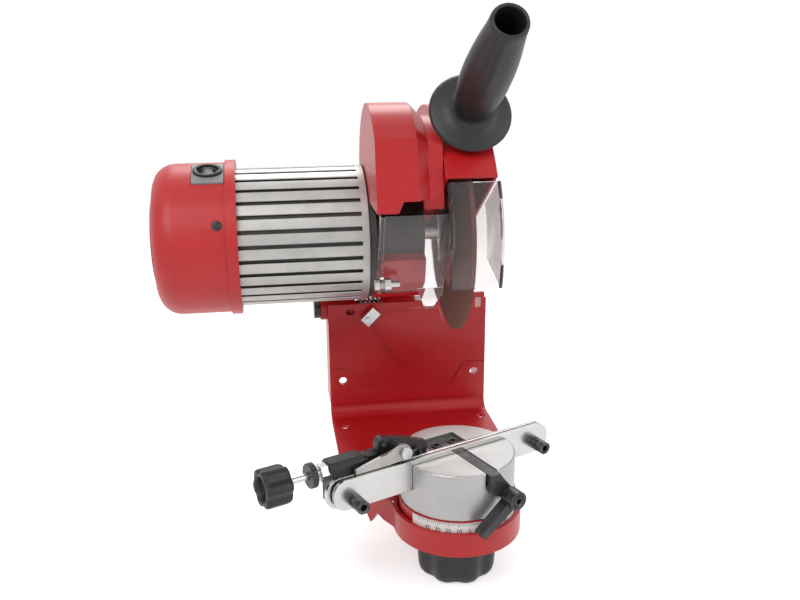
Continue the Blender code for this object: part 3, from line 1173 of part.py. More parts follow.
def make_switch(head, rocker_frame):
    """Grey switch let into the cap, with the rocker in its well."""
    x = (SWITCH_X - SWITCH_HALF_LENGTH, SWITCH_X + SWITCH_HALF_LENGTH)
    top = CAP_RADIUS + SWITCH_PLATE_PROUD
    low = switch_seat()
    plate = block(x, (-SWITCH_HALF_WIDTH, SWITCH_HALF_WIDTH), (low, CAP_RADIUS + SWITCH_PLATE_PROUD))
    plate = piece("switch_body", moved(plate, angle=switch_turn()), GREY, head)
    add_r = CAP_RADIUS + SWITCH_PLATE_PROUD
    length, width = SWITCH_WELL
    well = block((SWITCH_X - length, SWITCH_X + length), (-width, width), (low - OVERRUN, top + OVERRUN))
    cut(plate, moved(well, angle=switch_turn()))
    shell = ring(add_r, add_r * SWITCH_SHELL_SHARE, x[0] - OVERRUN, x[1] + OVERRUN, "X", (0, 0), FINE_ROUND)
    cut(plate, shell)
    under = low + OVERLAP
    body = block((SWITCH_X - length - CAP_WALL, SWITCH_X + length + CAP_WALL),
                 (-width - CAP_WALL, width + CAP_WALL), (under - SWITCH_BODY_DEPTH, under))
    add(plate, moved(body, angle=switch_turn()))
    pocket = SWITCH_ROCKER_RADIUS + SWITCH_ROCKER_GAP
    tool = rod(pocket, -width, width, "Y", (SWITCH_X, rocker_height()))
    cut(plate, moved(tool, angle=switch_turn()))
    gap = SWITCH_ROCKER_GAP
    rocker = rod(SWITCH_ROCKER_RADIUS, -width + gap, width - gap, "Y", (0, 0))
    piece("switch_rocker", rocker, BLACK, rocker_frame)


def switch_seat():
    """Underside of the switch plate, measured from the head's axis."""
    edge = math.sqrt(CAP_RADIUS ** 2 - SWITCH_HALF_WIDTH ** 2)
    return edge - SWITCH_PLATE


def rocker_height():
    return CAP_RADIUS + SWITCH_PLATE_PROUD + SWITCH_ROCKER_PROUD - SWITCH_ROCKER_RADIUS


def make_motor_shell(head):
    shell = ring(TUBE_BORE, TUBE_RADIUS, TUBE_X[0], TUBE_X[1], "X", (0, 0), TUBE_GROOVES * 2)
    tube = piece("motor_tube", shell, ALUMINIUM, head)
    half = TUBE_GROOVE_WIDTH / 2
    tools = []
    for i in range(TUBE_GROOVES):
        groove = block((TUBE_X[0] - OVERRUN, TUBE_GROOVE_END_X), (-half, half),
                       (TUBE_RADIUS - TUBE_GROOVE_DEPTH, TUBE_RADIUS + OVERRUN))
        tools.append(moved(groove, angle=elevation_turn(TUBE_GROOVE_FIRST + math.tau * i / TUBE_GROOVES)))
    cut(tube, group(tools))
    bore = SHAFT_RADIUS + RUNNING_GAP
    low, high = FRONT_PLATE_X
    spigot = low - FRONT_PLATE_SPIGOT
    profile = [(spigot, bore), (spigot, TUBE_BORE - GAP), (TUBE_X[1] + GAP, TUBE_BORE - GAP),
               (TUBE_X[1] + GAP, FRONT_PLATE_RADIUS), (high, FRONT_PLATE_RADIUS), (high, bore)]
    piece("motor_end_shield", turned(profile, "X", FINE_ROUND), DARK_GREY, head)
    low, high = REAR_PLATE_X
    seat = MOTOR_BEARING_RADIUS + GAP
    hub = MOTOR_BEARING_X[0]
    profile = [(hub, seat), (hub, REAR_PLATE_HUB_RADIUS), (low, REAR_PLATE_HUB_RADIUS), (low, TUBE_BORE - GAP),
               (high, TUBE_BORE - GAP), (high, bore), (low - GAP, bore), (low - GAP, seat)]
    piece("rear_bearing_plate", turned(profile, "X", FINE_ROUND), DARK_GREY, head)


def bearing(x, inner, outer):
    """Ball bearing drawn as one ring with the grooves of its shields."""
    lip = inner + BEARING_LIP
    rim = outer - BEARING_LIP
    deep = BEARING_GROOVE
    profile = [(x[0], inner), (x[0], lip), (x[0] + deep, lip), (x[0] + deep, rim), (x[0], rim), (x[0], outer),
               (x[1], outer), (x[1], rim), (x[1] - deep, rim), (x[1] - deep, lip), (x[1], lip), (x[1], inner)]
    return turned(profile, "X", MID_ROUND)


def make_bearings(head):
    rear = bearing((MOTOR_BEARING_X[0] + GAP, MOTOR_BEARING_X[1] - GAP), SHAFT_REAR_RADIUS + GAP,
                   MOTOR_BEARING_RADIUS)
    front = bearing(WHEEL_BEARING_X, SHAFT_RADIUS + GAP, WHEEL_BEARING_RADIUS)
    piece("motor_bearing", rear, STEEL, head)
    piece("wheel_bearing", front, STEEL, head)
    low, high = HOUSING_X
    inner = HOUSING_BORE
    seat = WHEEL_BEARING_RADIUS + GAP
    profile = [(low, inner), (low, HOUSING_RADIUS), (high, HOUSING_RADIUS), (high, seat),
               (WHEEL_BEARING_X[0] - GAP, seat), (WHEEL_BEARING_X[0] - GAP, inner)]
    piece("spindle_housing", turned(profile, "X", FINE_ROUND), DARK_GREY, head)


def make_motor_insides(head, spindle):
    """Magnets and brushes stay still; wound armature, commutator and fan turn."""
    outer = TUBE_BORE - GAP
    for name, middle in (("field_magnet_front", math.pi), ("field_magnet_rear", 0)):
        start = middle - MAGNET_SPAN / 2
        end = middle + MAGNET_SPAN / 2
        band = arc((0, 0), outer, start, end, MAGNET_STEPS)
        band += arc((0, 0), MAGNET_INNER, end, start, MAGNET_STEPS)
        piece(name, extruded(band, MAGNET_X[0], MAGNET_X[1]), FERRITE, head)
    bore = SHAFT_RADIUS + GAP
    core = piece("armature", ring(bore, CORE_RADIUS, CORE_X[0], CORE_X[1], "X", (0, 0), CORE_SLOTS * 4), STEEL,
                 spindle)
    slots = []
    for i in range(CORE_SLOTS):
        slot = block((CORE_X[0] - OVERRUN, CORE_X[1] + OVERRUN), (-CORE_SLOT_WIDTH / 2, CORE_SLOT_WIDTH / 2),
                     (CORE_RADIUS - CORE_SLOT_DEPTH, CORE_RADIUS + OVERRUN))
        slots.append(moved(slot, angle=math.tau * i / CORE_SLOTS))
    cut(core, group(slots))
    round_edge = WINDING_LENGTH / 3
    for face, way in ((CORE_X[0] + OVERLAP, -1), (CORE_X[1] - OVERLAP, 1)):
        end = face + way * WINDING_LENGTH
        inner = bore + OVERLAP
        profile = [(face, inner), (face, WINDING_RADIUS), (end - way * round_edge, WINDING_RADIUS),
                   (end, WINDING_RADIUS - round_edge), (end, inner)]
        add(core, turned(profile, "X", CORE_SLOTS * 2))
    bars = piece("commutator", ring(bore, COMMUTATOR_RADIUS, COMMUTATOR_X[0], COMMUTATOR_X[1], "X", (0, 0),
                                    COMMUTATOR_BARS * 2), COPPER, spindle)
    slits = []
    for i in range(COMMUTATOR_BARS):
        slit = block((COMMUTATOR_X[0] - OVERRUN, COMMUTATOR_X[1] - COMMUTATOR_SLIT * 2),
                     (-COMMUTATOR_SLIT / 2, COMMUTATOR_SLIT / 2),
                     (COMMUTATOR_RADIUS - COMMUTATOR_SLIT_DEPTH, COMMUTATOR_RADIUS + OVERRUN))
        slits.append(moved(slit, angle=math.tau * (i + 0.5) / COMMUTATOR_BARS))
    cut(bars, group(slits))
    low, high = BRUSH_PLATE_X
    plate = piece("brush_plate", ring(SHAFT_RADIUS + RUNNING_GAP, BRUSH_PLATE_RADIUS, low, high), BLACK, head)
    middle = (COMMUTATOR_X[0] + COMMUTATOR_X[1]) / 2
    half = BRUSH_SIZE / 2
    wall = BRUSH_HOLDER_WALL
    start = COMMUTATOR_RADIUS + RUNNING_GAP
    for name, way in (("carbon_brush_front", -1), ("carbon_brush_rear", 1)):
        span = sorted((way * (start + wall), way * (start + BRUSH_LENGTH + wall)))
        reach = half + GAP + wall
        holder = block((high - OVERLAP, middle + reach), span, (-reach, reach))
        add(plate, holder)
        span = sorted((way * start, way * (start + BRUSH_LENGTH)))
        tunnel = sorted((way * start, way * (start + BRUSH_LENGTH + GAP)))
        cut(plate, block((middle - half - GAP, middle + half + GAP), tunnel, (-half - GAP, half + GAP)))
        piece(name, block((middle - half, middle + half), span, (-half, half)), CARBON, head)
    fan = piece("cooling_fan", ring(bore, FAN_HUB_RADIUS, FAN_X[0], FAN_X[1]), BLACK, spindle)
    add(fan, ring(FAN_HUB_RADIUS - OVERLAP, FAN_RADIUS, FAN_X[1] - FAN_DISC, FAN_X[1] - OVERLAP / 4))
    for i in range(FAN_BLADES):
        blade = block((FAN_X[0] + OVERLAP, FAN_X[1] - FAN_DISC / 2), (-FAN_BLADE / 2, FAN_BLADE / 2),
                      (FAN_HUB_RADIUS - OVERLAP, FAN_RADIUS - OVERLAP))
        add(fan, moved(blade, angle=math.tau * i / FAN_BLADES))
    base = CAP_RADIUS + GAP
    profile = [(base - GLAND_LENGTH / 2, GLAND_BORE), (base - GLAND_LENGTH / 2, GLAND_RADIUS),
               (base, GLAND_RADIUS), (base, GLAND_COLLAR_RADIUS), (base + GLAND_COLLAR, GLAND_COLLAR_RADIUS),
               (base + GLAND_COLLAR, GLAND_RADIUS), (base + GLAND_LENGTH / 2, GLAND_RADIUS - GLAND_COLLAR / 2),
               (base + GLAND_LENGTH / 2, GLAND_BORE)]
    piece("cord_gland", moved(turned(profile, "Z", MID_ROUND, (GLAND_X, 0)), angle=gland_turn()), BLACK, head)


def make_spindle(spindle):
    """Stepped shaft, wheel between its flanges and the nut."""
    flange = INNER_FLANGE_X - GAP
    profile = [(SHAFT_REAR_X, 0), (SHAFT_REAR_X, SHAFT_REAR_RADIUS), (MOTOR_BEARING_X[1], SHAFT_REAR_RADIUS),
               (MOTOR_BEARING_X[1], SHAFT_RADIUS), (flange, SHAFT_RADIUS), (flange, SHAFT_WHEEL_RADIUS),
               (SHAFT_END_X, SHAFT_WHEEL_RADIUS), (SHAFT_END_X, 0)]
    piece("spindle_shaft", turned(profile, "X", MID_ROUND), STEEL, spindle)
    bore = SHAFT_WHEEL_RADIUS + GAP
    face = WHEEL_X - GAP
    spigot = WHEEL_BORE - GAP
    far = WHEEL_X + WHEEL_THICKNESS
    relief = FLANGE_RELIEF
    profile = [(INNER_FLANGE_X, bore), (INNER_FLANGE_X, WHEEL_BORE + INNER_FLANGE_PLATE / 2),
               (face - INNER_FLANGE_PLATE, INNER_FLANGE_RADIUS),
               (face, INNER_FLANGE_RADIUS), (face, INNER_FLANGE_RADIUS - FLANGE_LAND),
               (face - relief, INNER_FLANGE_RADIUS - FLANGE_LAND),
               (face - relief, spigot), (far - relief, spigot), (far - relief, bore)]
    piece("inner_flange", turned(profile, "X", MID_ROUND), STEEL, spindle)
    wheel = ring(WHEEL_BORE, WHEEL_RADIUS, WHEEL_X, far, "X", (0, 0), FINE_ROUND * 4 // 3)
    piece("grinding_wheel", wheel, ABRASIVE, spindle)
    face = far + GAP
    profile = [(face + relief, bore), (face + relief, OUTER_FLANGE_RADIUS - FLANGE_LAND),
               (face, OUTER_FLANGE_RADIUS - FLANGE_LAND), (face, OUTER_FLANGE_RADIUS),
               (face + OUTER_FLANGE_PLATE, OUTER_FLANGE_RADIUS), (face + OUTER_FLANGE_PLATE, bore)]
    piece("outer_flange", turned(profile, "X", MID_ROUND), STEEL, spindle)
    low = face + OUTER_FLANGE_PLATE + GAP
    nut = piece("spindle_nut", hexagon(SPINDLE_NUT_RADIUS, low, low + SPINDLE_NUT_LENGTH), ZINC, spindle)
    cut(nut, rod(bore, low - OVERRUN, low + SPINDLE_NUT_LENGTH + OVERRUN))


def hinge_place():
    """Hinge axis seen from the head's axis."""
    return (HINGE_Y - AXIS_Y, HINGE_Z - AXIS_Z)


def arm_point(u, w):
    """Point from the hinge: u towards the head's axis, w square to it and upwards."""
    hy, hz = hinge_place()
    reach = math.hypot(hy, hz)
    uy, uz = -hy / reach, -hz / reach
    return (hy + u * uy + w * uz, hz + u * uz - w * uy)


def make_arm(head):
    hinge = hinge_place()
    outline = [ARM_CRADLE_FRONT, ARM_CRADLE_LOW, ARM_CRADLE_HEEL, ARM_BELLY]
    outline += [arm_point(*p) for p in ARM_ROOT] + [ARM_SHOULDER, ARM_CRADLE_REAR]
    arm = piece("swing_arm", extruded(outline, ARM_X[0], ARM_X[1]), RED, head)
    cut(arm, rod(HOUSING_RADIUS + GAP, ARM_X[0] - OVERRUN, ARM_X[1] + OVERRUN, "X", (0, 0), FINE_ROUND))
    # The neck spans both knuckles and stays clear of the ears, the spring and the upright's top
    add(arm, extruded([arm_point(*p) for p in NECK_OUTLINE], ARM_NECK_X[0], ARM_NECK_X[1]))
    inset = OVERLAP / 4
    for low, high in (KNUCKLE_LEFT, KNUCKLE_RIGHT):
        add(arm, extruded([arm_point(*p) for p in NECK_WEB], low + inset, high - inset))
        add(arm, rod(KNUCKLE_RADIUS, low, high, "X", hinge))
    radius = DEPTH_SCREW_RADIUS + GAP
    cut(arm, depth_axis_shape([(DEPTH_SCREW_TIP_W, 0), (DEPTH_SCREW_TIP_W, radius),
                               (DEPTH_SCREW_TIP_W + DEPTH_SCREW_LENGTH, radius),
                               (DEPTH_SCREW_TIP_W + DEPTH_SCREW_LENGTH, 0)], SMALL_ROUND))
    bore = HINGE_PIN_RADIUS + GAP
    cut(arm, rod(bore, KNUCKLE_LEFT[0] - OVERRUN, KNUCKLE_RIGHT[1] + OVERRUN, "X", hinge))


def depth_axis_shape(profile, rounds):
    """Turned shape along the depth screw, which stands square on the arm's neck."""
    hy, hz = hinge_place()
    foot = arm_point(DEPTH_SCREW_U, 0)
    tilt = math.atan2(arm_point(0, 1)[0] - hy, arm_point(0, 1)[1] - hz)
    return moved(turned(profile, "Z", rounds), (DEPTH_SCREW_X, foot[0], foot[1]), -tilt, "X")


def make_depth_screw(head, screw_frame):
    """Screw through the neck; its tip meets the upright's top when the head is down."""
    end = DEPTH_SCREW_TIP_W + DEPTH_SCREW_LENGTH
    r = DEPTH_SCREW_RADIUS
    profile = [(DEPTH_SCREW_TIP_W, 0), (DEPTH_SCREW_TIP_W, r), (end, r), (end, DEPTH_SCREW_HEAD_RADIUS),
               (end + DEPTH_SCREW_HEAD, DEPTH_SCREW_HEAD_RADIUS), (end + DEPTH_SCREW_HEAD, 0)]
    piece("depth_screw", turned(profile, "Z", SMALL_ROUND), BLACK, screw_frame)


def make_arch(head):
    """Hood between the motor and the wheel cover, open below."""
    centre = ARCH_CROWN_CENTRE
    start = math.atan2(ARCH_FRONT_HIGH[1] - centre[1], ARCH_FRONT_HIGH[0] - centre[0])
    crown = arc(centre, ARCH_CROWN_RADIUS, start, 0, ARCH_STEPS)
    rear = centre[0] + ARCH_CROWN_RADIUS
    outline = [ARCH_FRONT_LOW, ARCH_FRONT_HIGH] + crown[1:] + [(rear, ARCH_REAR_LOW_Z)]
    inner = []
    wall = ARCH_WALL
    for y, z in outline:
        away = Vector((y - centre[0], z - centre[1])).normalized() * wall
        inner.append((y - away.x, z - away.y))
    inner[0] = (outline[0][0] + wall, outline[0][1] - OVERRUN)
    inner[-1] = (rear - wall, ARCH_REAR_LOW_Z - OVERRUN)
    shoulder = ARCH_SHOULDER
    slim = []
    for y, z in outline:
        away = Vector((y - centre[0], z - centre[1])).normalized() * shoulder
        slim.append((y - away.x, z - away.y))
    slim[0] = (outline[0][0] + shoulder, outline[0][1])
    slim[-1] = (rear - shoulder, ARCH_REAR_LOW_Z)
    low, high = ARCH_X
    loops = [[(x, y, z) for y, z in shape] for x, shape in
             ((low, outline), (high - shoulder, outline), (high, slim), (ARCH_NECK_X, slim))]
    arch = piece("head_housing", lofted(loops), RED, head)
    hollow = [[(x, y, z) for y, z in shape] for x, shape in
              ((low + wall, inner), (high - shoulder, inner))]
    inner_slim = []
    for y, z in slim:
        away = Vector((y - centre[0], z - centre[1])).normalized() * wall
        inner_slim.append((y - away.x, z - away.y))
    inner_slim[0] = (slim[0][0] + wall, slim[0][1] - OVERRUN)
    inner_slim[-1] = (slim[-1][0] - wall, ARCH_REAR_LOW_Z - OVERRUN)
    hollow += [[(x, y, z) for y, z in inner_slim] for x in (high - wall, ARCH_NECK_X - wall)]
    cut(arch, lofted(hollow))
    cut(arch, rod(TUBE_RADIUS + GAP, low - OVERRUN, FRONT_PLATE_X[1] + GAP, "X", (0, 0), FINE_ROUND))
    cut(arch, rod(HOUSING_RADIUS + RUNNING_GAP, low, ARCH_NECK_X + OVERRUN, "X", (0, 0), FINE_ROUND))
    step_low, step_high = ARCH_STEP_X
    front = ARCH_FRONT_LOW[0] - OVERRUN
    bottom = ARCH_FRONT_LOW[1]
    notch = [(step_low, bottom - OVERRUN), (step_high, bottom + ARCH_STEP),
             (ARCH_NECK_X + OVERRUN, bottom + ARCH_STEP),
             (ARCH_NECK_X + OVERRUN, bottom - OVERRUN)]
    cut(arch, extruded(notch, front, ARCH_FRONT_LOW[0] + ARCH_STEP_DEPTH, "Y"))


def cover_outline(radius, start, end):
    return front_arc(radius, start, end, COVER_SEGMENTS)


def make_wheel_cover(head):
    """Drum-shaped cover over the wheel, open below, with the boss for the handle."""
    low, high = COVER_X
    closing = [(0, 0)]
    outer = cover_outline(COVER_RADIUS, COVER_FRONT, COVER_REAR)
    cover = piece("wheel_cover", extruded(outer + closing, low, high), RED, head)
    wall = COVER_WALL
    boss = rod(HANDLE_BOSS_RADIUS, -HANDLE_BOSS_DEPTH, -GAP, "Z")
    add(cover, moved(boss, (HANDLE_X, HANDLE_AT[0], HANDLE_AT[1]), handle_turn(), "X"))
    reach = COVER_RADIUS - wall
    slack = OVERRUN / reach * 2
    hollow = cover_outline(reach, COVER_FRONT - slack, COVER_REAR + slack)
    side, deep = COVER_OPEN_SHARES
    hollow = hollow + [(reach * side, -reach * deep), (0, -reach * deep), (-reach, -OVERRUN * 2)]
    cut(cover, extruded(hollow, low + wall, high - wall))
    cut(cover, rod(COVER_HUB_HOLE, low - OVERRUN, low + wall + OVERRUN))
    stud = rod(HANDLE_STUD_RADIUS, -OVERRUN, HANDLE_STUD_OUT, "Z")
    add(cover, moved(stud, (HANDLE_X, HANDLE_AT[0], HANDLE_AT[1]), handle_turn(), "X"))


def handle_turn():
    """Turn about X that carries +Z onto the handle's axis, which leans to the user."""
    return math.pi / 2 - HANDLE_ELEVATION


def make_handle(head):
    profile = [(0, HANDLE_STUD_RADIUS + GAP), (0, HANDLE_DISC_RADIUS - HANDLE_DISC / 2),
               (HANDLE_DISC / 2, HANDLE_DISC_RADIUS), (HANDLE_DISC, HANDLE_DISC_RADIUS - HANDLE_DISC / 2)]
    profile += list(HANDLE_SECTIONS)
    profile += [(HANDLE_LENGTH, HANDLE_END_RADIUS), (HANDLE_LENGTH, HANDLE_BORE_RADIUS),
                (HANDLE_LENGTH - HANDLE_BORE_DEPTH, HANDLE_BORE_RADIUS), (HANDLE_LENGTH - HANDLE_BORE_DEPTH, 0),
                (HANDLE_STUD_OUT + GAP, 0), (HANDLE_STUD_OUT + GAP, HANDLE_STUD_RADIUS + GAP)]
    place = (HANDLE_X, HANDLE_AT[0], HANDLE_AT[1])
    piece("handle_grip", moved(turned(profile, "Z", MID_ROUND), place, handle_turn(), "X"), BLACK, head)


def make_guard(head):
    """Clear shell in front of the wheel, the shield before the spindle and the spark deflector."""
    low, high = GUARD_X
    wall = GUARD_WALL
    outer = front_arc(GUARD_RADIUS, GUARD_BOTTOM, GUARD_TOP, GUARD_STEPS)
    inner = front_arc(GUARD_RADIUS - wall, GUARD_TOP, GUARD_BOTTOM, GUARD_STEPS)
    guard = piece("clear_guard", extruded(outer + inner, low, high), CLEAR, head)
    hub = front_arc(GUARD_INNER_RADIUS, GUARD_TOP, GUARD_BOTTOM, GUARD_STEPS)
    rim = front_arc(GUARD_RADIUS - wall / 2, GUARD_BOTTOM, GUARD_TOP, GUARD_STEPS)
    add(guard, extruded(rim + hub, low + OVERLAP / 8, low + wall))
    side = front_arc(GUARD_INNER_RADIUS + wall, GUARD_TOP, GUARD_BOTTOM, GUARD_STEPS)
    add(guard, extruded(rim + side, high - wall, high - OVERLAP / 8))
    path = [Vector(p) for p in SHIELD_PATH]
    back = []
    for i, p in enumerate(path):
        a = path[max(i - 1, 0)]
        b = path[min(i + 1, len(path) - 1)]
        run = (b - a).normalized()
        back.append(p + Vector((-run.y, run.x)) * wall)
    shield = [(p.x, p.y) for p in path] + [(p.x, p.y) for p in reversed(back)]
    add(guard, extruded(shield, SHIELD_X, low + wall / 2))
    foot = back[-1]
    tip_x, tip_z = DEFLECTOR_TIP
    top_z = path[-1].y + wall
    outline = [(tip_x - DEFLECTOR_HALF, top_z), (tip_x - DEFLECTOR_TIP_HALF, tip_z),
               (tip_x + DEFLECTOR_TIP_HALF, tip_z),
               (low + wall / 2, top_z - wall * 2), (low + wall / 2, top_z)]
    add(guard, extruded(outline, foot.x - wall, foot.x + OVERLAP / 4, "Y"))
    lug_low, lug_high = GUARD_LUG_X
    lug = [(p.x - GUARD_LUG_REACH / 3, p.y) for p in path]
    lug += [(p.x + GUARD_LUG_REACH, p.y) for p in reversed(path)]
    add(guard, extruded(lug, lug_low, lug_high + OVERLAP))
    y, z = GUARD_SCREW_AT
    pad = (lug_low + OVERLAP / 8, lug_high + OVERLAP / 2)
    add(guard, rod(GUARD_NUT_RADIUS + wall / 2, pad[0], pad[1], "X", (y, z), SMALL_ROUND))
    cut(guard, rod(GUARD_SCREW_RADIUS + GAP, lug_low - OVERRUN, lug_high + OVERRUN, "X", (y, z), SMALL_ROUND))


def make_guard_screw(head):
    y, z = GUARD_SCREW_AT
    face = GUARD_LUG_X[0] - GAP
    nut = GUARD_LUG_X[1] + OVERLAP + GAP
    end = GUARD_SCREW_X[1]
    r = GUARD_SCREW_RADIUS
    profile = [(end, 0), (end, r), (face, r), (face, GUARD_SCREW_HEAD_RADIUS),
               (face - GUARD_SCREW_HEAD, GUARD_SCREW_HEAD_RADIUS), (face - GUARD_SCREW_HEAD, 0)]
    piece("guard_screw", turned(profile, "X", SMALL_ROUND, (y, z)), ZINC, head)
    hexagonal = turned([(nut, r + GAP), (nut, GUARD_NUT_RADIUS), (nut + GUARD_NUT_LENGTH, GUARD_NUT_RADIUS),
                        (nut + GUARD_NUT_LENGTH, r + GAP)], "X", HEX * 2, (y, z))
    piece("guard_screw_nut", hexagonal, ZINC, head)


def build():
    make_stand()
    make_hinge()
    make_stop_tab()
    make_scale()
    pivot = frame("head_pivot", None, (0, HINGE_Y, HINGE_Z))
    hy, hz = hinge_place()
    head = frame("head_axis", pivot, (0, -hy, -hz))
    spindle = frame("spindle_axis", head)
    rocker = frame("rocker_axis", head)
    turn = switch_turn()
    rocker.location = (SWITCH_X, -rocker_height() * math.sin(turn), rocker_height() * math.cos(turn))
    rocker.rotation_euler = (turn, 0, 0)
    make_end_cap(head)
    make_switch(head, rocker)
    make_motor_shell(head)
    make_bearings(head)
    make_motor_insides(head, spindle)
    make_spindle(spindle)
    make_arm(head)
    foot = arm_point(DEPTH_SCREW_U, 0)
    tilt = math.atan2(arm_point(0, 1)[0] - hy, arm_point(0, 1)[1] - hz)
    depth = frame("depth_axis", head, (DEPTH_SCREW_X, foot[0], foot[1]), (-tilt, 0, 0))
    make_depth_screw(head, depth)
    make_arch(head)
    make_wheel_cover(head)
    make_handle(head)
    make_guard(head)
    make_guard_screw(head)
    table = frame("table_axis", None, (TABLE_X, TABLE_Y, 0), (0, 0, RAIL_ANGLE))
    make_drum(table)
    make_table_fasteners(table)
    make_star_knob(frame("knob_axis", table))
    slide = frame("clamp_slide", table)
    lever = frame("lever_axis", slide, (LEVER_HUB[0], 0, LEVER_HUB[1]))
    make_rails(table, slide)
    make_clamp(slide, lever)
    screw = frame("stop_screw_axis", table, (0, STOP_SCREW_Y, STOP_SCREW_Z))
    nut = frame("lock_nut_axis", table, (0, STOP_SCREW_Y, STOP_SCREW_Z))
    carriage = frame("stop_slide", table)
    pawl = frame("pawl_axis", carriage, (PAWL_PIVOT[0], 0, PAWL_PIVOT[1]))
    make_stop(table, screw, nut, carriage, pawl)


build()
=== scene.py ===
"""Looks of the electric chainsaw sharpener: materials, detailed pieces, studio and camera.

Metres, in the frame of the CAD: +X along the motor towards the wheel, -Y towards the user, +Z up.
"""
import json
import math

import bmesh
import bpy
from mathutils import Matrix, Vector


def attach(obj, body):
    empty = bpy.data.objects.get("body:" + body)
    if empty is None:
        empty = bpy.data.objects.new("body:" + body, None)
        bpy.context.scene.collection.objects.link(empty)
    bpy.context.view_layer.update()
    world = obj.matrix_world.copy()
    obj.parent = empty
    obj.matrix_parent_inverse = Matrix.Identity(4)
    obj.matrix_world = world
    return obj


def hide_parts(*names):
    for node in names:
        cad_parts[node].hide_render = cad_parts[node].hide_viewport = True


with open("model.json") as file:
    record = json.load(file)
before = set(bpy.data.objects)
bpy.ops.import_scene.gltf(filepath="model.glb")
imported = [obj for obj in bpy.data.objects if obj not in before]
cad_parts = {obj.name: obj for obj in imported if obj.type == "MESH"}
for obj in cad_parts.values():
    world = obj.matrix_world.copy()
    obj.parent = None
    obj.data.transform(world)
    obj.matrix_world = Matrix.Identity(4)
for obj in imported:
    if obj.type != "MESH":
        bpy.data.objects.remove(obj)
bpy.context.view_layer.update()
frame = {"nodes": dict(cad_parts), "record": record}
NODES = frame["nodes"]

BODIES = frame["record"]["behaviour"]["bodies"]
BODY_OF = {node: body for body, nodes in BODIES.items() for node in nodes}
SLOT_OF = {entry["node"]: entry["material_slot"] for entry in frame["record"]["subparts"]}

# frames that the pieces are built in
HEAD = Vector((0, -0.057, 0.185))
HEAD_FRAME = Matrix.Translation(HEAD)
DRUM_FRAME = Matrix.Translation((0.0165, -0.089, 0))
RAIL_ANGLE = math.radians(23)
TABLE = DRUM_FRAME @ Matrix.Rotation(RAIL_ANGLE, 4, "Z")


# ---------------------------------------------------------------- materials
class Shader:
    """Small helper that wires one material."""

    def __init__(self, name):
        self.material = bpy.data.materials.new(name)
        self.material.use_nodes = True
        self.tree = self.material.node_tree
        self.main = self.tree.nodes["Principled BSDF"]

    def node(self, kind, **inputs):
        made = self.tree.nodes.new(kind)
        for key, value in inputs.items():
            made.inputs[key.replace("_", " ")].default_value = value
        return made

    def link(self, source, target):
        self.tree.links.new(source, target)

    def place(self, stretch=(1, 1, 1)):
        """Object coordinates in metres, stretched for directional grain."""
        coordinates = self.node("ShaderNodeTexCoord")
        mapping = self.node("ShaderNodeMapping", Scale=stretch)
        self.link(coordinates.outputs["Object"], mapping.inputs["Vector"])
        return mapping.outputs["Vector"]

    def noise(self, scale, detail=3.0, rough=0.5, stretch=(1, 1, 1)):
        made = self.node("ShaderNodeTexNoise", Scale=scale, Detail=detail, Roughness=rough)
        self.link(self.place(stretch), made.inputs["Vector"])
        return made.outputs["Fac"]

    def ramp(self, source, low, high, start=0.35, end=0.65):
        made = self.node("ShaderNodeValToRGB")
        made.color_ramp.elements[0].position = start
        made.color_ramp.elements[1].position = end
        made.color_ramp.elements[0].color = low
        made.color_ramp.elements[1].color = high
        self.link(source, made.inputs["Fac"])
        return made.outputs["Color"]

    def range(self, source, low, high):
        made = self.node("ShaderNodeMapRange", To_Min=low, To_Max=high)
        self.link(source, made.inputs["Value"])
        return made.outputs["Result"]

    def rounded(self, radius):
        """Normal that rounds sharp edges by the radius."""
        if not radius:
            return None
        made = self.node("ShaderNodeBevel", Radius=radius)
        made.samples = 4
        return made.outputs["Normal"]

    def bump(self, source, depth, strength=0.5, edge=None):
        made = self.node("ShaderNodeBump", Strength=strength, Distance=depth)
        self.link(source, made.inputs["Height"])
        if edge is not None:
            self.link(edge, made.inputs["Normal"])
        return made.outputs["Normal"]

    def mix(self, factor, a, b, kind="MIX"):
        made = self.node("ShaderNodeMix")
        made.data_type = "RGBA"
        made.blend_type = kind
        for socket, value in ((made.inputs[0], factor), (made.inputs[6], a), (made.inputs[7], b)):
            if isinstance(value, bpy.types.NodeSocket):
                self.link(value, socket)
            else:
                socket.default_value = value
        return made.outputs[2]


def shade(colour, amount):
    return tuple(min(c * amount, 1.0) for c in colour[:3]) + (1.0,)


def surface(name, colour, rough, metallic=0.0, spread=0.10, patch=60, grain=1500, depth=0.00004, strength=0.3,
            edge=0.0004, coat=0.0, coat_rough=0.1, stretch=(1, 1, 1), rough_spread=0.08, worn=None):
    """Moulded, painted or machined surface: patchy colour, grain bump, worn edges."""
    s = Shader(name)
    patches = s.noise(patch, 4.0, 0.6)
    tint = s.ramp(patches, shade(colour, 1 - spread), shade(colour, 1 + spread))
    if worn is not None:
        wear_colour, wear_share = worn
        pointed = s.node("ShaderNodeNewGeometry")
        edges = s.ramp(pointed.outputs["Pointiness"], (0, 0, 0, 1), (1, 1, 1, 1), 0.53, 0.60)
        broken = s.ramp(s.noise(260, 5.0, 0.7), (0, 0, 0, 1), (wear_share,) * 3 + (1,), 0.45, 0.60)
        both = s.mix(1.0, edges, broken, "MULTIPLY")
        tint = s.mix(both, tint, wear_colour)
    s.link(tint, s.main.inputs["Base Color"])
    fine = s.noise(grain, 3.0, 0.55, stretch)
    s.link(s.range(fine, max(rough - rough_spread, 0.02), rough + rough_spread), s.main.inputs["Roughness"])
    s.link(s.bump(fine, depth, strength, s.rounded(edge)), s.main.inputs["Normal"])
    s.main.inputs["Metallic"].default_value = metallic
    s.main.inputs["Coat Weight"].default_value = coat
    s.main.inputs["Coat Roughness"].default_value = coat_rough
    s.material.diffuse_color = colour
    return s.material


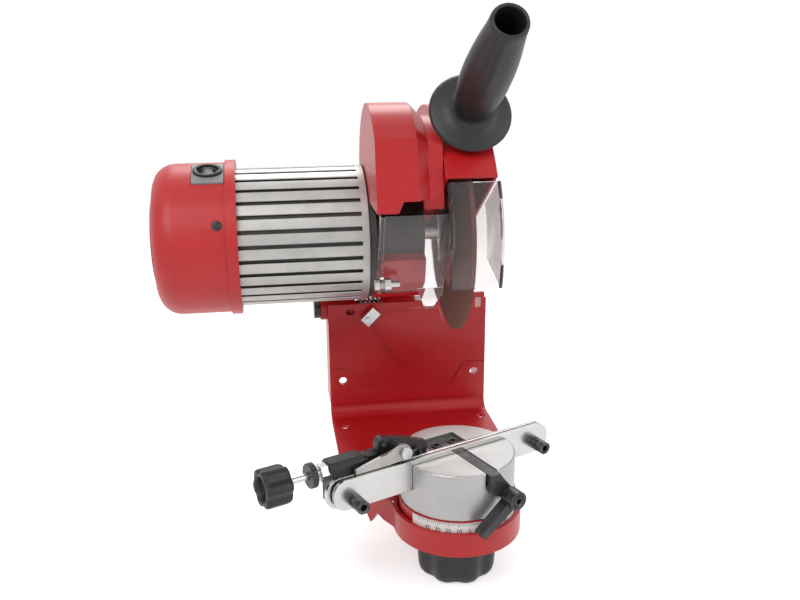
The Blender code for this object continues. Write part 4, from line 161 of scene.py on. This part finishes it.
def abrasive_surface():
    """Vitrified brown wheel: dark grains, light grains and open pores."""
    s = Shader("brown_abrasive")
    cells = s.node("ShaderNodeTexVoronoi", Scale=1500.0)
    s.link(s.place(), cells.inputs["Vector"])
    grains = s.ramp(cells.outputs["Distance"], (0.115, 0.040, 0.026, 1), (0.230, 0.100, 0.066, 1), 0.15, 0.75)
    specks = s.ramp(s.noise(2300, 2.0), (0, 0, 0, 1), (0.35, 0.35, 0.35, 1), 0.62, 0.70)
    tint = s.mix(specks, grains, (0.42, 0.24, 0.18, 1))
    dirt = s.range(s.noise(45, 3.0), 0.0, 0.25)
    s.link(s.mix(dirt, tint, (0.10, 0.045, 0.032, 1)), s.main.inputs["Base Color"])
    s.link(s.bump(cells.outputs["Distance"], 0.00025, 0.6, s.rounded(0.0003)), s.main.inputs["Normal"])
    s.main.inputs["Roughness"].default_value = 0.9
    return s.material


def clear_surface():
    """Clear polycarbonate with a faint warm tint and moulding waviness."""
    s = Shader("clear_polycarbonate")
    haze = s.noise(90, 3.0)
    s.link(s.ramp(haze, (0.76, 0.71, 0.71, 1), (0.86, 0.82, 0.82, 1), 0.3, 0.7), s.main.inputs["Base Color"])
    s.link(s.range(haze, 0.02, 0.09), s.main.inputs["Roughness"])
    s.main.inputs["Transmission Weight"].default_value = 1.0
    s.main.inputs["IOR"].default_value = 1.45
    s.link(s.bump(s.noise(70, 2.0), 0.0006, 0.18), s.main.inputs["Normal"])
    return s.material


RED = (0.52, 0.008, 0.012, 1)
RED_CAP = (0.56, 0.022, 0.024, 1)
BLACK = (0.010, 0.010, 0.011, 1)
PAINT = surface("red_enamel", RED, 0.36, spread=0.035, patch=25, grain=420, depth=0.00006, strength=0.10,
                coat=0.08, coat_rough=0.12, edge=0.0006, rough_spread=0.04)
CAP_PLASTIC = surface("red_moulded_plastic", RED_CAP, 0.42, spread=0.05, grain=2600, depth=0.00003,
                      strength=0.35, edge=0.0007)
BLACK_PLASTIC = surface("black_moulded_plastic", BLACK, 0.45, spread=0.25, grain=2400, depth=0.00004,
                        strength=0.4, edge=0.0006)
BLACK_METAL = surface("black_coated_metal", (0.012, 0.012, 0.013, 1), 0.38, spread=0.25, grain=900,
                      depth=0.00005, strength=0.35, worn=((0.20, 0.19, 0.18, 1), 0.5))
BLACK_STEEL = surface("black_oxide_steel", (0.022, 0.022, 0.024, 1), 0.34, 0.4, spread=0.3, grain=1600,
                      worn=((0.25, 0.24, 0.23, 1), 0.5), edge=0.0003)
GREY_PLASTIC = surface("grey_moulded_plastic", (0.30, 0.30, 0.30, 1), 0.5, spread=0.06, grain=2600,
                       strength=0.3)
CASTING = surface("dark_cast_alloy", (0.075, 0.071, 0.068, 1), 0.48, 0.6, spread=0.2, patch=140,
                  grain=700, depth=0.0002, strength=0.45)
TUBE_METAL = surface("satin_motor_aluminium", (0.47, 0.46, 0.445, 1), 0.42, 0.85, spread=0.07, patch=90,
                     grain=1100, depth=0.00005, strength=0.35, stretch=(0.12, 1, 1), edge=0.0004)
DRUM_METAL = surface("turned_aluminium", (0.43, 0.425, 0.42, 1), 0.40, 0.85, spread=0.05, patch=40,
                     grain=1400, depth=0.00003, strength=0.3, stretch=(1, 1, 4), edge=0.0005)
ZINC = surface("bright_zinc", (0.56, 0.555, 0.545, 1), 0.24, 1.0, spread=0.03, patch=60, grain=900,
               depth=0.00002, strength=0.07, edge=0.0004)
STEEL = surface("machined_steel", (0.55, 0.54, 0.52, 1), 0.30, 1.0, spread=0.08, grain=1500)
COPPER = surface("bare_copper", (0.72, 0.36, 0.18, 1), 0.35, 1.0)
CARBON = surface("pressed_carbon", (0.045, 0.045, 0.047, 1), 0.7, grain=2600, strength=0.5)
FERRITE = surface("dull_ferrite", (0.10, 0.10, 0.11, 1), 0.6, 0.2, grain=2000)
ABRASIVE = abrasive_surface()
CLEAR = clear_surface()
PAWL_METAL = surface("dull_pawl_steel", (0.40, 0.39, 0.38, 1), 0.42, 0.9, spread=0.12, grain=900)
# painted shade: dark colour laid on the walls, floors and ends of the motor tube's grooves
GROOVE_SHADE = surface("painted_groove_shade", (0.060, 0.058, 0.056, 1), 0.6, 0.3, spread=0.2, grain=900, edge=0)
WHITE = surface("white_scale_band", (0.86, 0.85, 0.82, 1), 0.4, spread=0.02, grain=1800, strength=0.1,
                edge=0.0001)
# black print on the scale band, and painted shade in the cross and socket recesses of screws
INK_AND_SHADE = surface("black_ink_and_painted_shade", (0.02, 0.02, 0.022, 1), 0.55, spread=0.2, strength=0.05, edge=0)

LOOKS = {
    "red_paint": PAINT, "red_plastic": CAP_PLASTIC, "black_plastic": BLACK_PLASTIC,
    "black_metal": BLACK_METAL, "black_steel": BLACK_STEEL, "dark_casting": CASTING,
    "grey_plastic": GREY_PLASTIC, "aluminium": DRUM_METAL, "zinc": ZINC,
    "steel": STEEL, "copper": COPPER, "carbon": CARBON, "ferrite": FERRITE,
    "fan_plastic": BLACK_PLASTIC, "abrasive": ABRASIVE, "clear_plastic": CLEAR, "white_print": WHITE,
}


def dress_nodes():
    """Give every carried-over CAD node its finish."""
    for name, node in NODES.items():
        node.data.materials.clear()
        node.data.materials.append(LOOKS[SLOT_OF[name]])
    NODES["motor_tube"].data.materials[0] = TUBE_METAL


dress_nodes()


# ---------------------------------------------------------------- building pieces
def finished(name, mesh, finishes, body, nodes=(), place=None, sharp=32):
    """Link a mesh as a piece that rides on a body, with soft shading and sharp corners kept."""
    if place is not None:
        mesh.transform(place)
    if not isinstance(finishes, (list, tuple)):
        finishes = [finishes]
    for finish in finishes:
        mesh.materials.append(finish)
    mesh.shade_smooth()
    mesh.set_sharp_from_angle(angle=math.radians(sharp))
    made = bpy.data.objects.new(name, mesh)
    bpy.context.scene.collection.objects.link(made)
    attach(made, body)
    if nodes:
        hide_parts(*nodes)
    return made


def from_bmesh(shape, name):
    bmesh.ops.recalc_face_normals(shape, faces=shape.faces)
    mesh = bpy.data.meshes.new(name)
    shape.to_mesh(mesh)
    shape.free()
    return mesh


WELD, FINE_WELD = 0.00001, 0.000005


def softened(node, width=0.0006, segments=2, limit=30, finish=None):
    """Copy of a CAD node with its sharp edges rounded, standing for that node."""
    shape = bmesh.new()
    shape.from_mesh(NODES[node].data)
    bmesh.ops.remove_doubles(shape, verts=shape.verts, dist=WELD)
    bmesh.ops.dissolve_limit(shape, angle_limit=math.radians(1.0), verts=shape.verts, edges=shape.edges)
    edges = [e for e in shape.edges if len(e.link_faces) == 2 and e.calc_face_angle(0) > math.radians(limit)]
    bmesh.ops.bevel(shape, geom=edges, offset=width, segments=segments, profile=0.5, affect="EDGES",
                    clamp_overlap=True)
    bmesh.ops.remove_doubles(shape, verts=shape.verts, dist=FINE_WELD)
    mesh = from_bmesh(shape, node + "_soft")
    finish = finish or NODES[node].data.materials[0]
    made = finished(node + "_form", mesh, finish, BODY_OF[node], (node,), sharp=40)
    steady = made.modifiers.new("steady_normals", "WEIGHTED_NORMAL")
    steady.keep_sharp = True
    return made


def skin(rows, caps=False):
    """Surface through closed rows of points; a row of one point closes an end."""
    shape = bmesh.new()
    made = [[shape.verts.new(p) for p in row] for row in rows]
    for a, b in zip(made, made[1:]):
        count = max(len(a), len(b))
        for i in range(count):
            j = (i + 1) % count
            if len(a) == 1:
                shape.faces.new((a[0], b[i], b[j]))
            elif len(b) == 1:
                shape.faces.new((a[i], b[0], a[j]))
            else:
                shape.faces.new((a[i], b[i], b[j], a[j]))
    if caps:
        shape.faces.new(list(reversed(made[0])))
        shape.faces.new(made[-1])
    return shape


def lathe(profile, rounds=64, wave=None):
    """Turned surface about +Z from (z, radius) pairs; wave(angle, z, radius) gives a new radius."""
    rows = []
    for z, radius in profile:
        if radius <= 0:
            rows.append([(0, 0, z)])
            continue
        row = []
        for i in range(rounds):
            a = math.tau * i / rounds
            r = wave(a, z, radius) if wave else radius
            row.append((r * math.cos(a), r * math.sin(a), z))
        rows.append(row)
    return skin(rows)


def box_shape(x, y, z, radius=0.0005, segments=2):
    """Block with rounded edges."""
    shape = bmesh.new()
    bmesh.ops.create_cube(shape, size=1.0)
    for v in shape.verts:
        v.co = Vector([(low + high) / 2 + share * (high - low)
                       for share, (low, high) in zip(v.co, (x, y, z))])
    bmesh.ops.bevel(shape, geom=shape.edges[:], offset=radius, segments=segments, profile=0.5,
                    affect="EDGES")
    return shape


def added(whole, shape, index):
    """Add one shape to another with its own material index."""
    mesh = from_bmesh(shape, "added")
    before = len(whole.faces)
    whole.from_mesh(mesh)
    whole.faces.ensure_lookup_table()
    for face in whole.faces[before:]:
        face.material_index = index
    bpy.data.meshes.remove(mesh)


# ---------------------------------------------------------------- motor and cap
TUBE_LOW, TUBE_HIGH = -0.1375, -0.0473
TUBE_RADIUS, TUBE_BORE, TUBE_CHAMFER = 0.0476, 0.0420, 0.0008
GROOVES, FIRST_GROOVE = 30, math.radians(90 - 2.1)
GROOVE_END, GROOVE_DEPTH, GROOVE_HALF, GROOVE_EDGE = -0.0527, 0.0022, 0.0013, 0.0004
GROOVE_FLOOR_SHARE = 0.9
FIN_STEPS = 4


def tube_outline():
    """Cosine, sine, radius and groove flag of the points around the fins."""
    step = math.tau / GROOVES
    a_half = GROOVE_HALF / TUBE_RADIUS
    a_edge = GROOVE_EDGE / TUBE_RADIUS
    flank, floor = TUBE_RADIUS - GROOVE_EDGE, TUBE_RADIUS - GROOVE_DEPTH
    fin = step / 2 - a_half - a_edge
    around = []
    for i in range(GROOVES):
        middle = FIRST_GROOVE + math.tau * i / GROOVES
        around += [(middle - step / 2 + fin * k / FIN_STEPS, TUBE_RADIUS, 0) for k in range(FIN_STEPS)]
        around += [(middle - a_half - a_edge, TUBE_RADIUS, 0), (middle - a_half, flank, 1),
                   (middle - a_half * GROOVE_FLOOR_SHARE, floor, 1),
                   (middle + a_half * GROOVE_FLOOR_SHARE, floor, 1),
                   (middle + a_half, flank, 0), (middle + a_half + a_edge, TUBE_RADIUS, 0)]
        around += [(middle + a_half + a_edge + fin * k / FIN_STEPS, TUBE_RADIUS, 0)
                   for k in range(1, FIN_STEPS)]
    return [(math.cos(a), math.sin(a), r, dark) for a, r, dark in around]


def make_motor_tube():
    """Finned aluminium body: rounded fins with grooves that end before a plain rim; painted shade darkens the
    groove walls, floors and ends.
    """
    fins = bmesh.new()
    outline = tube_outline()

    def ring(x, radius=None):
        return [fins.verts.new((x, -c * (radius or r), s * (radius or r))) for c, s, r, dark in outline]

    rows = [ring(TUBE_LOW + 0.0002), ring(GROOVE_END), ring(GROOVE_END + 0.0001, TUBE_RADIUS),
            ring(TUBE_HIGH - TUBE_CHAMFER, TUBE_RADIUS), ring(TUBE_HIGH, TUBE_RADIUS - TUBE_CHAMFER),
            ring(TUBE_HIGH, TUBE_BORE), ring(TUBE_LOW, TUBE_BORE)]
    total = len(outline)
    for k, (a, b) in enumerate(zip(rows, rows[1:])):
        for i in range(total):
            j = (i + 1) % total
            face = fins.faces.new((a[i], b[i], b[j], a[j]))
            in_groove = outline[i][3] and outline[j][2] < TUBE_RADIUS
            # groove walls, floors and end walls get the painted groove shade
            face.material_index = 1 if (in_groove and k in (0, 1)) else 0
    for i in range(total):
        j = (i + 1) % total
        fins.faces.new((rows[-1][i], rows[0][i], rows[0][j], rows[-1][j]))
    mesh = from_bmesh(fins, "motor_body")
    finished("motor_body", mesh, [TUBE_METAL, GROOVE_SHADE], "head", ("motor_tube",),
             HEAD_FRAME, 25)


def cross_head(radius, height, depth=0.0009, arm=0.00045):
    """Domed screw head on +Z with a cross of painted shade: a thin dark inlay on the dome where the recess
    would be.
    """
    dome = [(0, 0), (0, radius), (height * 0.45, radius), (height * 0.8, radius * 0.85),
            (height, radius * 0.5), (height, 0.0)]
    reach = radius * 0.62
    shape = lathe(dome, 32)
    for turn in (0, math.pi / 2):
        slot = box_shape((-reach, reach), (-arm, arm), (height - depth * 0.25, height + 0.00008), 0.00003, 1)
        bmesh.ops.rotate(slot, verts=slot.verts, cent=(0, 0, 0), matrix=Matrix.Rotation(turn, 3, "Z"))
        added(shape, slot, 1)
    return from_bmesh(shape, "cross_head")


def about_head(degrees, x):
    """Frame on the head's axis whose +Z leaves it at an elevation towards the user."""
    turn = Matrix.Rotation(math.pi / 2 - math.radians(degrees), 4, "X")
    return HEAD_FRAME @ Matrix.Translation((x, 0, 0)) @ turn


CAP_SCREW_X, CAP_SCREW_SEAT = -0.1467, 0.0521
CAP_SCREW_RADIUS, CAP_SCREW_HEIGHT = 0.0032, 0.0014
CAP_SCREW_TURNS = {"front": 21.5, "rear": 201.5}


def make_cap_details():
    softened("end_cap", 0.0007, 2, 35)
    for side, turn in CAP_SCREW_TURNS.items():
        place = about_head(turn, CAP_SCREW_X) @ Matrix.Translation((0, 0, CAP_SCREW_SEAT))
        # second finish is the painted shade of the cross recess
        finished("cap_screw_" + side, cross_head(CAP_SCREW_RADIUS, CAP_SCREW_HEIGHT), [BLACK_STEEL, INK_AND_SHADE],
                 "head", ("end_cap_screw_" + side,), place)


SWITCH_X, SWITCH_TURN = -0.1517, 70
BEZEL_HALVES, BEZEL_ROUND = (0.0098, 0.0079), 48
BEZEL_SECTION = ((0.0522, 1.0), (0.0537, 1.0), (0.0541, 0.93), (0.0541, 0.80), (0.0537, 0.73), (0.0522, 0.73))
ROCKER_RADIUS, ROCKER_SLIM, ROCKER_DIP, ROCKER_AXIS = 0.0052, 0.0003, 0.0011, 0.0486
ROCKER_ENDS = (-0.0045, -0.0042, 0.0042, 0.0045)
ROCKER_STEPS = 24
SWITCH_GREY = surface("rocker_grey_black", (0.05, 0.05, 0.052, 1), 0.4, spread=0.1, grain=2200)


def make_switch_details():
    """Grey plate, dark oval bezel and a two-way rocker."""
    softened("switch_body", 0.0005, 2, 35)
    place = about_head(SWITCH_TURN, SWITCH_X)
    rows = []
    for z, out in BEZEL_SECTION:
        turns = [math.tau * i / BEZEL_ROUND for i in range(BEZEL_ROUND)]
        rows.append([(BEZEL_HALVES[0] * out * math.cos(a), BEZEL_HALVES[1] * out * math.sin(a), z)
                     for a in turns])
    ring = skin(rows + [rows[0]])
    finished("switch_bezel", from_bmesh(ring, "switch_bezel"), BLACK_PLASTIC, "head", (),
             place)
    rows = []
    for y in ROCKER_ENDS:
        r = ROCKER_RADIUS - (ROCKER_SLIM if y in (ROCKER_ENDS[0], ROCKER_ENDS[-1]) else 0)
        row = []
        for i in range(ROCKER_STEPS + 1):
            a = math.pi * (i / ROCKER_STEPS)
            dip = ROCKER_DIP * math.cos(a) ** 2 - ROCKER_DIP
            row.append((r * math.cos(a), y, ROCKER_AXIS + r * math.sin(a) + dip * math.sin(a)))
        rows.append(row)
    shape = skin(rows, caps=True)
    finished("rocker_cap", from_bmesh(shape, "rocker_cap"), SWITCH_GREY, "rocker",
             ("switch_rocker",), place)


# ---------------------------------------------------------------- handle and knobs
GRIP_PROFILE = [
    (0.0, 0.0043), (0.0, 0.0250), (0.0006, 0.0262), (0.0018, 0.0270), (0.0030, 0.0264), (0.0040, 0.0240),
    (0.0046, 0.0190), (0.0060, 0.0150), (0.0085, 0.0126), (0.0115, 0.0116), (0.0150, 0.0119),
    (0.0210, 0.0129), (0.0290, 0.0143), (0.0380, 0.0152), (0.0480, 0.0156), (0.0580, 0.0155),
    (0.0680, 0.0149), (0.0780, 0.0140), (0.0880, 0.0128), (0.0970, 0.0118), (0.1030, 0.0113),
    (0.1062, 0.0110), (0.1076, 0.0105), (0.1080, 0.0098), (0.1078, 0.0090), (0.1068, 0.0085),
    (0.0640, 0.0083), (0.0640, 0.0)]
GRIP_START, GRIP_STOP, GRIP_LEAST_RADIUS = 0.0062, 0.1065, 0.0095
GRIP_EASE_IN, GRIP_EASE_OUT = 0.012, 0.010
GRIP_ELEVATION = math.radians(32.2)
GRIP_ROOT = (0.0170, -0.057 - 0.0515, 0.185 + 0.0864)
FACET_SHARE, FLAT_SHARE, FLAT_TURN = 0.030, 0.045, 0.5


def make_handle():
    """Moulded grip: flange disc, waist, palm swell with shallow flats and an open end."""
    place = Matrix.Translation(GRIP_ROOT) @ Matrix.Rotation(math.pi / 2 - GRIP_ELEVATION, 4, "X")

    def flat(angle):
        return FLAT_SHARE * max(0.0, math.cos(angle)) ** 6

    def wave(a, z, r):
        if z <= GRIP_START or z > GRIP_STOP or r < GRIP_LEAST_RADIUS:
            return r
        ease = min((z - GRIP_START) / GRIP_EASE_IN, 1.0) * min((GRIP_STOP - z) / GRIP_EASE_OUT, 1.0)
        swell = FACET_SHARE * math.cos(6 * a) - flat(a - FLAT_TURN) - flat(a - FLAT_TURN - math.pi)
        return r * (1 + ease * swell)

    mesh = from_bmesh(lathe(GRIP_PROFILE, 96, wave), "grip_form")
    finished("grip_form", mesh, BLACK_PLASTIC, "head", ("handle_grip",), place, 50)


LOBE_SHARPNESS = 3.0


def lobed(lobes, depth, phase, outer, start, blend):
    """Wave that draws the wall in between lobes, fading out towards the hub."""
    def wave(a, z, r):
        share = max(0.0, min((r - start) / blend, 1.0))
        wall = outer - depth * abs(math.sin(lobes * (a - phase) / 2)) ** LOBE_SHARPNESS
        return r + (wall - outer) * share
    return wave


def make_star_knob():
    """Cup-shaped star knob with eight grips, hollow on top round its hub."""
    top = -0.0358 - 0.0003 - 0.0095
    low = top - 0.0270
    outer, hub = 0.0310, 0.0150
    wave = lobed(8, 0.0030, 0.2, outer, 0.020, 0.009)
    underside = [(low + 0.0008, 0.0), (low + 0.0008, 0.0060), (low, 0.0080), (low, 0.0245),
                 (low + 0.0010, 0.0268)]
    wall = [(low + 0.0035, 0.0288), (low + 0.0075, 0.0299), (low + 0.0140, 0.0304), (top - 0.0030, 0.0309),
            (top - 0.0010, outer), (top, 0.0306)]
    hollow = [(top, 0.0292), (top - 0.0010, 0.0284), (top - 0.0070, 0.0277), (top - 0.0120, 0.0262),
              (top - 0.0128, 0.0240), (top - 0.0128, hub + 0.0030), (top - 0.0120, hub + 0.0008)]
    neck = [(top - 0.0060, hub), (top + 0.0085, hub), (top + 0.0095, hub - 0.0010), (top + 0.0095, 0.0056),
            (top - 0.0010, 0.0053), (top - 0.0010, 0.0)]
    mesh = from_bmesh(lathe(underside + wall + hollow + neck, 160, wave), "star_knob_form")
    finished("star_knob_form", mesh, BLACK_PLASTIC, "table_knob", ("star_knob",),
             DRUM_FRAME, 50)


SCREW_AXIS = (0, 0.0120, 0.0310)


def make_adjusting_knob():
    """Six-lobed hand wheel with an open end."""
    low, high, outer = -0.1520, -0.1320, 0.014
    wave = lobed(6, 0.0022, 0.3, outer, 0.0095, 0.0025)
    hollow = [(low + 0.0052, 0.0), (low + 0.0052, 0.0028), (low + 0.0052, 0.0070), (low + 0.0046, 0.0082),
              (low + 0.0012, 0.0088), (low + 0.0004, 0.0094)]
    wall = [(low, 0.0104), (low, 0.0122), (low + 0.0005, 0.0134), (low + 0.0015, 0.0139),
            (low + 0.0030, outer), (high - 0.0050, outer), (high - 0.0030, 0.0138)]
    back = [(high - 0.0012, 0.0130), (high - 0.0002, 0.0112), (high, 0.0090), (high, 0.0062), (high, 0.0028)]
    place = TABLE @ Matrix.Translation(SCREW_AXIS) @ Matrix.Rotation(math.pi / 2, 4, "Y")
    mesh = from_bmesh(lathe(hollow + wall + back, 120, wave), "adjusting_knob_form")
    finished("adjusting_knob_form", mesh, BLACK_PLASTIC, "stop_screw", ("adjusting_knob",),
             place, 50)


# ---------------------------------------------------------------- scale and pocket
BAND_RADIUS = 0.0436 + 0.00015 + 0.0006 + 0.00004
BAND_LOW, BAND_HIGH = -0.0195, -0.0107
BAND_ZERO = -math.pi / 2
BAND_ENDS = (BAND_ZERO - math.radians(56), BAND_ZERO + math.radians(58))
TICK_INSET, FIGURE_INSET, FIGURE_SIZE = 0.0003, 0.0014, 0.0044
LONG_TICK, SHORT_TICK = (0.0030, 0.00016), (0.0021, 0.00011)
BORDER_LINES, BORDER_HALF, BORDER_STEPS = (BAND_LOW + 0.0004, BAND_HIGH - 0.0002), 0.00008, 40


def on_band(angle, z):
    return (BAND_RADIUS * math.cos(angle), BAND_RADIUS * math.sin(angle), z)


def band_patch(shape, start, stop, low, high, steps=1):
    """Strip of ink on the band between two angles and two heights."""
    for k in range(steps):
        a = start + (stop - start) * k / steps
        b = start + (stop - start) * (k + 1) / steps
        corners = [(a, low), (b, low), (b, high), (a, high)]
        shape.faces.new([shape.verts.new(on_band(angle, z)) for angle, z in corners])


def band_figure(shape, degree):
    """Plain number wrapped on the band."""
    words = bpy.data.curves.new("figure", "FONT")
    words.body = str(abs(degree))
    words.size = FIGURE_SIZE
    words.align_x = "CENTER"
    holder = bpy.data.objects.new("figure", words)
    bpy.context.scene.collection.objects.link(holder)
    bpy.context.view_layer.update()
    flat = holder.evaluated_get(bpy.context.evaluated_depsgraph_get()).to_mesh()
    points = [shape.verts.new(on_band(BAND_ZERO + math.radians(degree) + v.co.x / BAND_RADIUS,
                                      BAND_LOW + FIGURE_INSET + v.co.y)) for v in flat.vertices]
    for face in flat.polygons:
        shape.faces.new([points[i] for i in face.vertices])
    bpy.data.objects.remove(holder, do_unlink=True)
    bpy.data.curves.remove(words)


def make_scale_figures():
    """Ticks every 2 degrees, plain numbers every 10 and a border line above and below."""
    shape = bmesh.new()
    for degree in range(-50, 51, 2):
        length, half = LONG_TICK if degree % 10 == 0 else SHORT_TICK
        a = BAND_ZERO + math.radians(degree)
        band_patch(shape, a - half / BAND_RADIUS, a + half / BAND_RADIUS, BAND_HIGH - length,
                   BAND_HIGH - TICK_INSET)
    for degree in range(-40, 41, 10):
        band_figure(shape, degree)
    for line in BORDER_LINES:
        band_patch(shape, *BAND_ENDS, line - BORDER_HALF, line + BORDER_HALF, BORDER_STEPS)
    mesh = bpy.data.meshes.new("scale_figures")
    shape.to_mesh(mesh)
    shape.free()
    finished("scale_figures", mesh, INK_AND_SHADE, "stand", (), DRUM_FRAME)


def socket_head(radius, height, socket, depth, rounds=32):
    """Socket-head screw top on +Z with a hexagon socket, whose walls and floor carry painted shade."""
    mouth = height - 0.0001
    outer = lathe([(0, 0), (0, radius), (height - 0.0004, radius), (height, radius - 0.0004),
                   (height, socket * 1.12), (mouth, socket * 1.02)], rounds)
    inner = lathe([(mouth, socket), (height - depth, socket), (height - depth, 0)], 6)
    whole = bmesh.new()
    added(whole, outer, 0)
    added(whole, inner, 1)
    mesh = bpy.data.meshes.new("socket_head")
    whole.to_mesh(mesh)
    whole.free()
    return mesh


BLOCK_X, BLOCK_Y, BLOCK_Z = (-0.0186, 0.0136), (0.0062, 0.0266), (0.0172, 0.0232)
BLOCK_SCREWS = ((-0.0080, 0.0160, 0.0228), (0.0070, 0.0160, 0.0228))


def make_pocket():
    """Black guide block in the drum's pocket with its two socket screws."""
    block = box_shape(BLOCK_X, BLOCK_Y, BLOCK_Z, 0.0008, 2)
    finished("pocket_block", from_bmesh(block, "pocket_block"), BLACK_METAL, "turntable", (),
             TABLE)
    pair = bmesh.new()
    for spot in BLOCK_SCREWS:
        mesh = socket_head(0.0040, 0.0018, 0.0021, 0.0014)
        mesh.transform(Matrix.Translation(spot))
        pair.from_mesh(mesh)
        bpy.data.meshes.remove(mesh)
    mesh = bpy.data.meshes.new("pocket_screws")
    pair.to_mesh(mesh)
    pair.free()
    # second finish is the painted shade inside the hexagon sockets
    finished("pocket_screws", mesh, [BLACK_STEEL, INK_AND_SHADE], "turntable", ("pocket_screw",),
             TABLE)


# rounding of the edges of CAD pieces that keep their shape
EDGE_WIDTHS = {
    "base_bracket": 0.0009, "head_housing": 0.0009, "wheel_cover": 0.0009, "swing_arm": 0.0009,
    "scale_boss": 0.0005, "turntable_drum": 0.0004, "front_rail": 0.0004, "rear_rail": 0.0004,
    "clamp_bar": 0.0005, "clamp_lever": 0.0009, "stop_housing": 0.0008, "stop_bracket": 0.0007,
    "stop_tab": 0.0004, "clear_guard": 0.0005, "lock_nut": 0.0003,
}

make_motor_tube()
make_cap_details()
make_switch_details()
make_handle()
make_star_knob()
make_adjusting_knob()
make_scale_figures()
make_pocket()
for node, width in EDGE_WIDTHS.items():
    softened(node, width)
softened("stop_pawl", 0.0005, 2, 30, PAWL_METAL)


# ---------------------------------------------------------------- studio and camera
def seen(tree):
    """1 on rays from the camera, mirrors and glass, which show the white background."""
    rays = tree.nodes.new("ShaderNodeLightPath")
    total = rays.outputs["Is Camera Ray"]
    for kind in ("Is Glossy Ray", "Is Transmission Ray"):
        larger = tree.nodes.new("ShaderNodeMath")
        larger.operation = "MAXIMUM"
        tree.links.new(total, larger.inputs[0])
        tree.links.new(rays.outputs[kind], larger.inputs[1])
        total = larger.outputs["Value"]
    return total


FLOOR_HALF, FLOOR_Z = 6.0, -0.0731
FLOOR_GLOW, FAR_LEVEL = 0.55, 0.45
FADE_START, FADE_END = 0.45, 1.2
WORLD_LEVEL = 0.38


def make_floor():
    """Pale floor below the part that keeps its shadow and fades to white away from it."""
    size, low = FLOOR_HALF, FLOOR_Z
    mesh = bpy.data.meshes.new("studio_floor")
    corners = [(-size, -size, low), (size, -size, low), (size, size, low), (-size, size, low)]
    mesh.from_pydata(corners, [], [(0, 1, 2, 3)])
    floor = bpy.data.objects.new("studio_floor", mesh)
    bpy.context.scene.collection.objects.link(floor)
    s = Shader("pale_floor")
    tint = s.ramp(s.noise(9, 3.0), (0.88, 0.88, 0.88, 1), (0.91, 0.91, 0.91, 1))
    s.link(tint, s.main.inputs["Base Color"])
    s.main.inputs["Roughness"].default_value = 0.9
    glow = s.node("ShaderNodeEmission", Color=(1, 1, 1, 1))
    s.link(s.range(seen(s.tree), 0.0, FLOOR_GLOW), glow.inputs["Strength"])
    near = s.node("ShaderNodeAddShader")
    s.link(s.main.outputs["BSDF"], near.inputs[0])
    s.link(glow.outputs["Emission"], near.inputs[1])
    far = s.node("ShaderNodeEmission", Color=(1, 1, 1, 1))
    s.link(s.range(seen(s.tree), FAR_LEVEL, 1.0), far.inputs["Strength"])
    away = s.node("ShaderNodeVectorMath")
    away.operation = "LENGTH"
    s.link(s.place(), away.inputs[0])
    fade = s.node("ShaderNodeMapRange", From_Min=FADE_START, From_Max=FADE_END)
    s.link(away.outputs["Value"], fade.inputs["Value"])
    both = s.node("ShaderNodeMixShader")
    s.link(fade.outputs["Result"], both.inputs[0])
    s.link(near.outputs["Shader"], both.inputs[1])
    s.link(far.outputs["Emission"], both.inputs[2])
    s.link(both.outputs["Shader"], s.tree.nodes["Material Output"].inputs["Surface"])
    mesh.materials.append(s.material)


def make_world():
    """Even white surroundings; the camera sees plain white."""
    world = bpy.data.worlds.new("studio_world")
    bpy.context.scene.world = world
    world.use_nodes = True
    tree = world.node_tree
    tree.nodes["Background"].inputs["Color"].default_value = (1, 1, 1, 1)
    level = tree.nodes.new("ShaderNodeMapRange")
    level.inputs["To Min"].default_value = WORLD_LEVEL
    level.inputs["To Max"].default_value = 1.0
    tree.links.new(seen(tree), level.inputs["Value"])
    tree.links.new(level.outputs["Result"], tree.nodes["Background"].inputs["Strength"])


def make_light(name, place, aim, size, power):
    """Soft rectangular lamp turned towards a point."""
    light = bpy.data.lights.new(name, "AREA")
    light.shape = "RECTANGLE"
    light.size, light.size_y = size
    light.energy = power
    lamp = bpy.data.objects.new(name, light)
    bpy.context.scene.collection.objects.link(lamp)
    lamp.location = place
    lamp.rotation_euler = (Vector(aim) - Vector(place)).to_track_quat("-Z", "Y").to_euler()


CAMERA_PLACE = (-0.1175, -0.6852, 0.3297)
CAMERA_YAW, CAMERA_DOWN, CAMERA_ROLL = math.radians(8.74), math.radians(17.19), math.radians(-0.32)
CAMERA_LENS = 40.9
LAMPS = (
    ("key_light", (-0.75, -0.95, 1.15), (0, -0.05, 0.15), (0.9, 0.9), 9),
    ("fill_light", (1.0, -0.8, 0.7), (0, -0.05, 0.12), (0.9, 0.9), 4.5),
    ("back_light", (0.1, 0.9, 1.1), (0, 0, 0.15), (1.0, 0.6), 8),
)


def make_camera():
    """Camera at the photograph's place, angle and field of view."""
    camera = bpy.data.cameras.new("photo_camera")
    camera.sensor_width = 36.0
    camera.lens = CAMERA_LENS
    camera.clip_start, camera.clip_end = 0.01, 50.0
    view = bpy.data.objects.new("photo_camera", camera)
    bpy.context.scene.collection.objects.link(view)
    view.location = CAMERA_PLACE
    yaw, down = CAMERA_YAW, CAMERA_DOWN
    ahead = Vector((math.sin(yaw) * math.cos(down), math.cos(yaw) * math.cos(down), -math.sin(down)))
    turn = ahead.to_track_quat("-Z", "Y").to_matrix() @ Matrix.Rotation(CAMERA_ROLL, 3, "Z")
    view.rotation_euler = turn.to_euler()
    bpy.context.scene.camera = view


make_floor()
make_world()
for lamp_row in LAMPS:
    make_light(*lamp_row)
make_camera()
bpy.context.scene.view_settings.view_transform = "Standard"
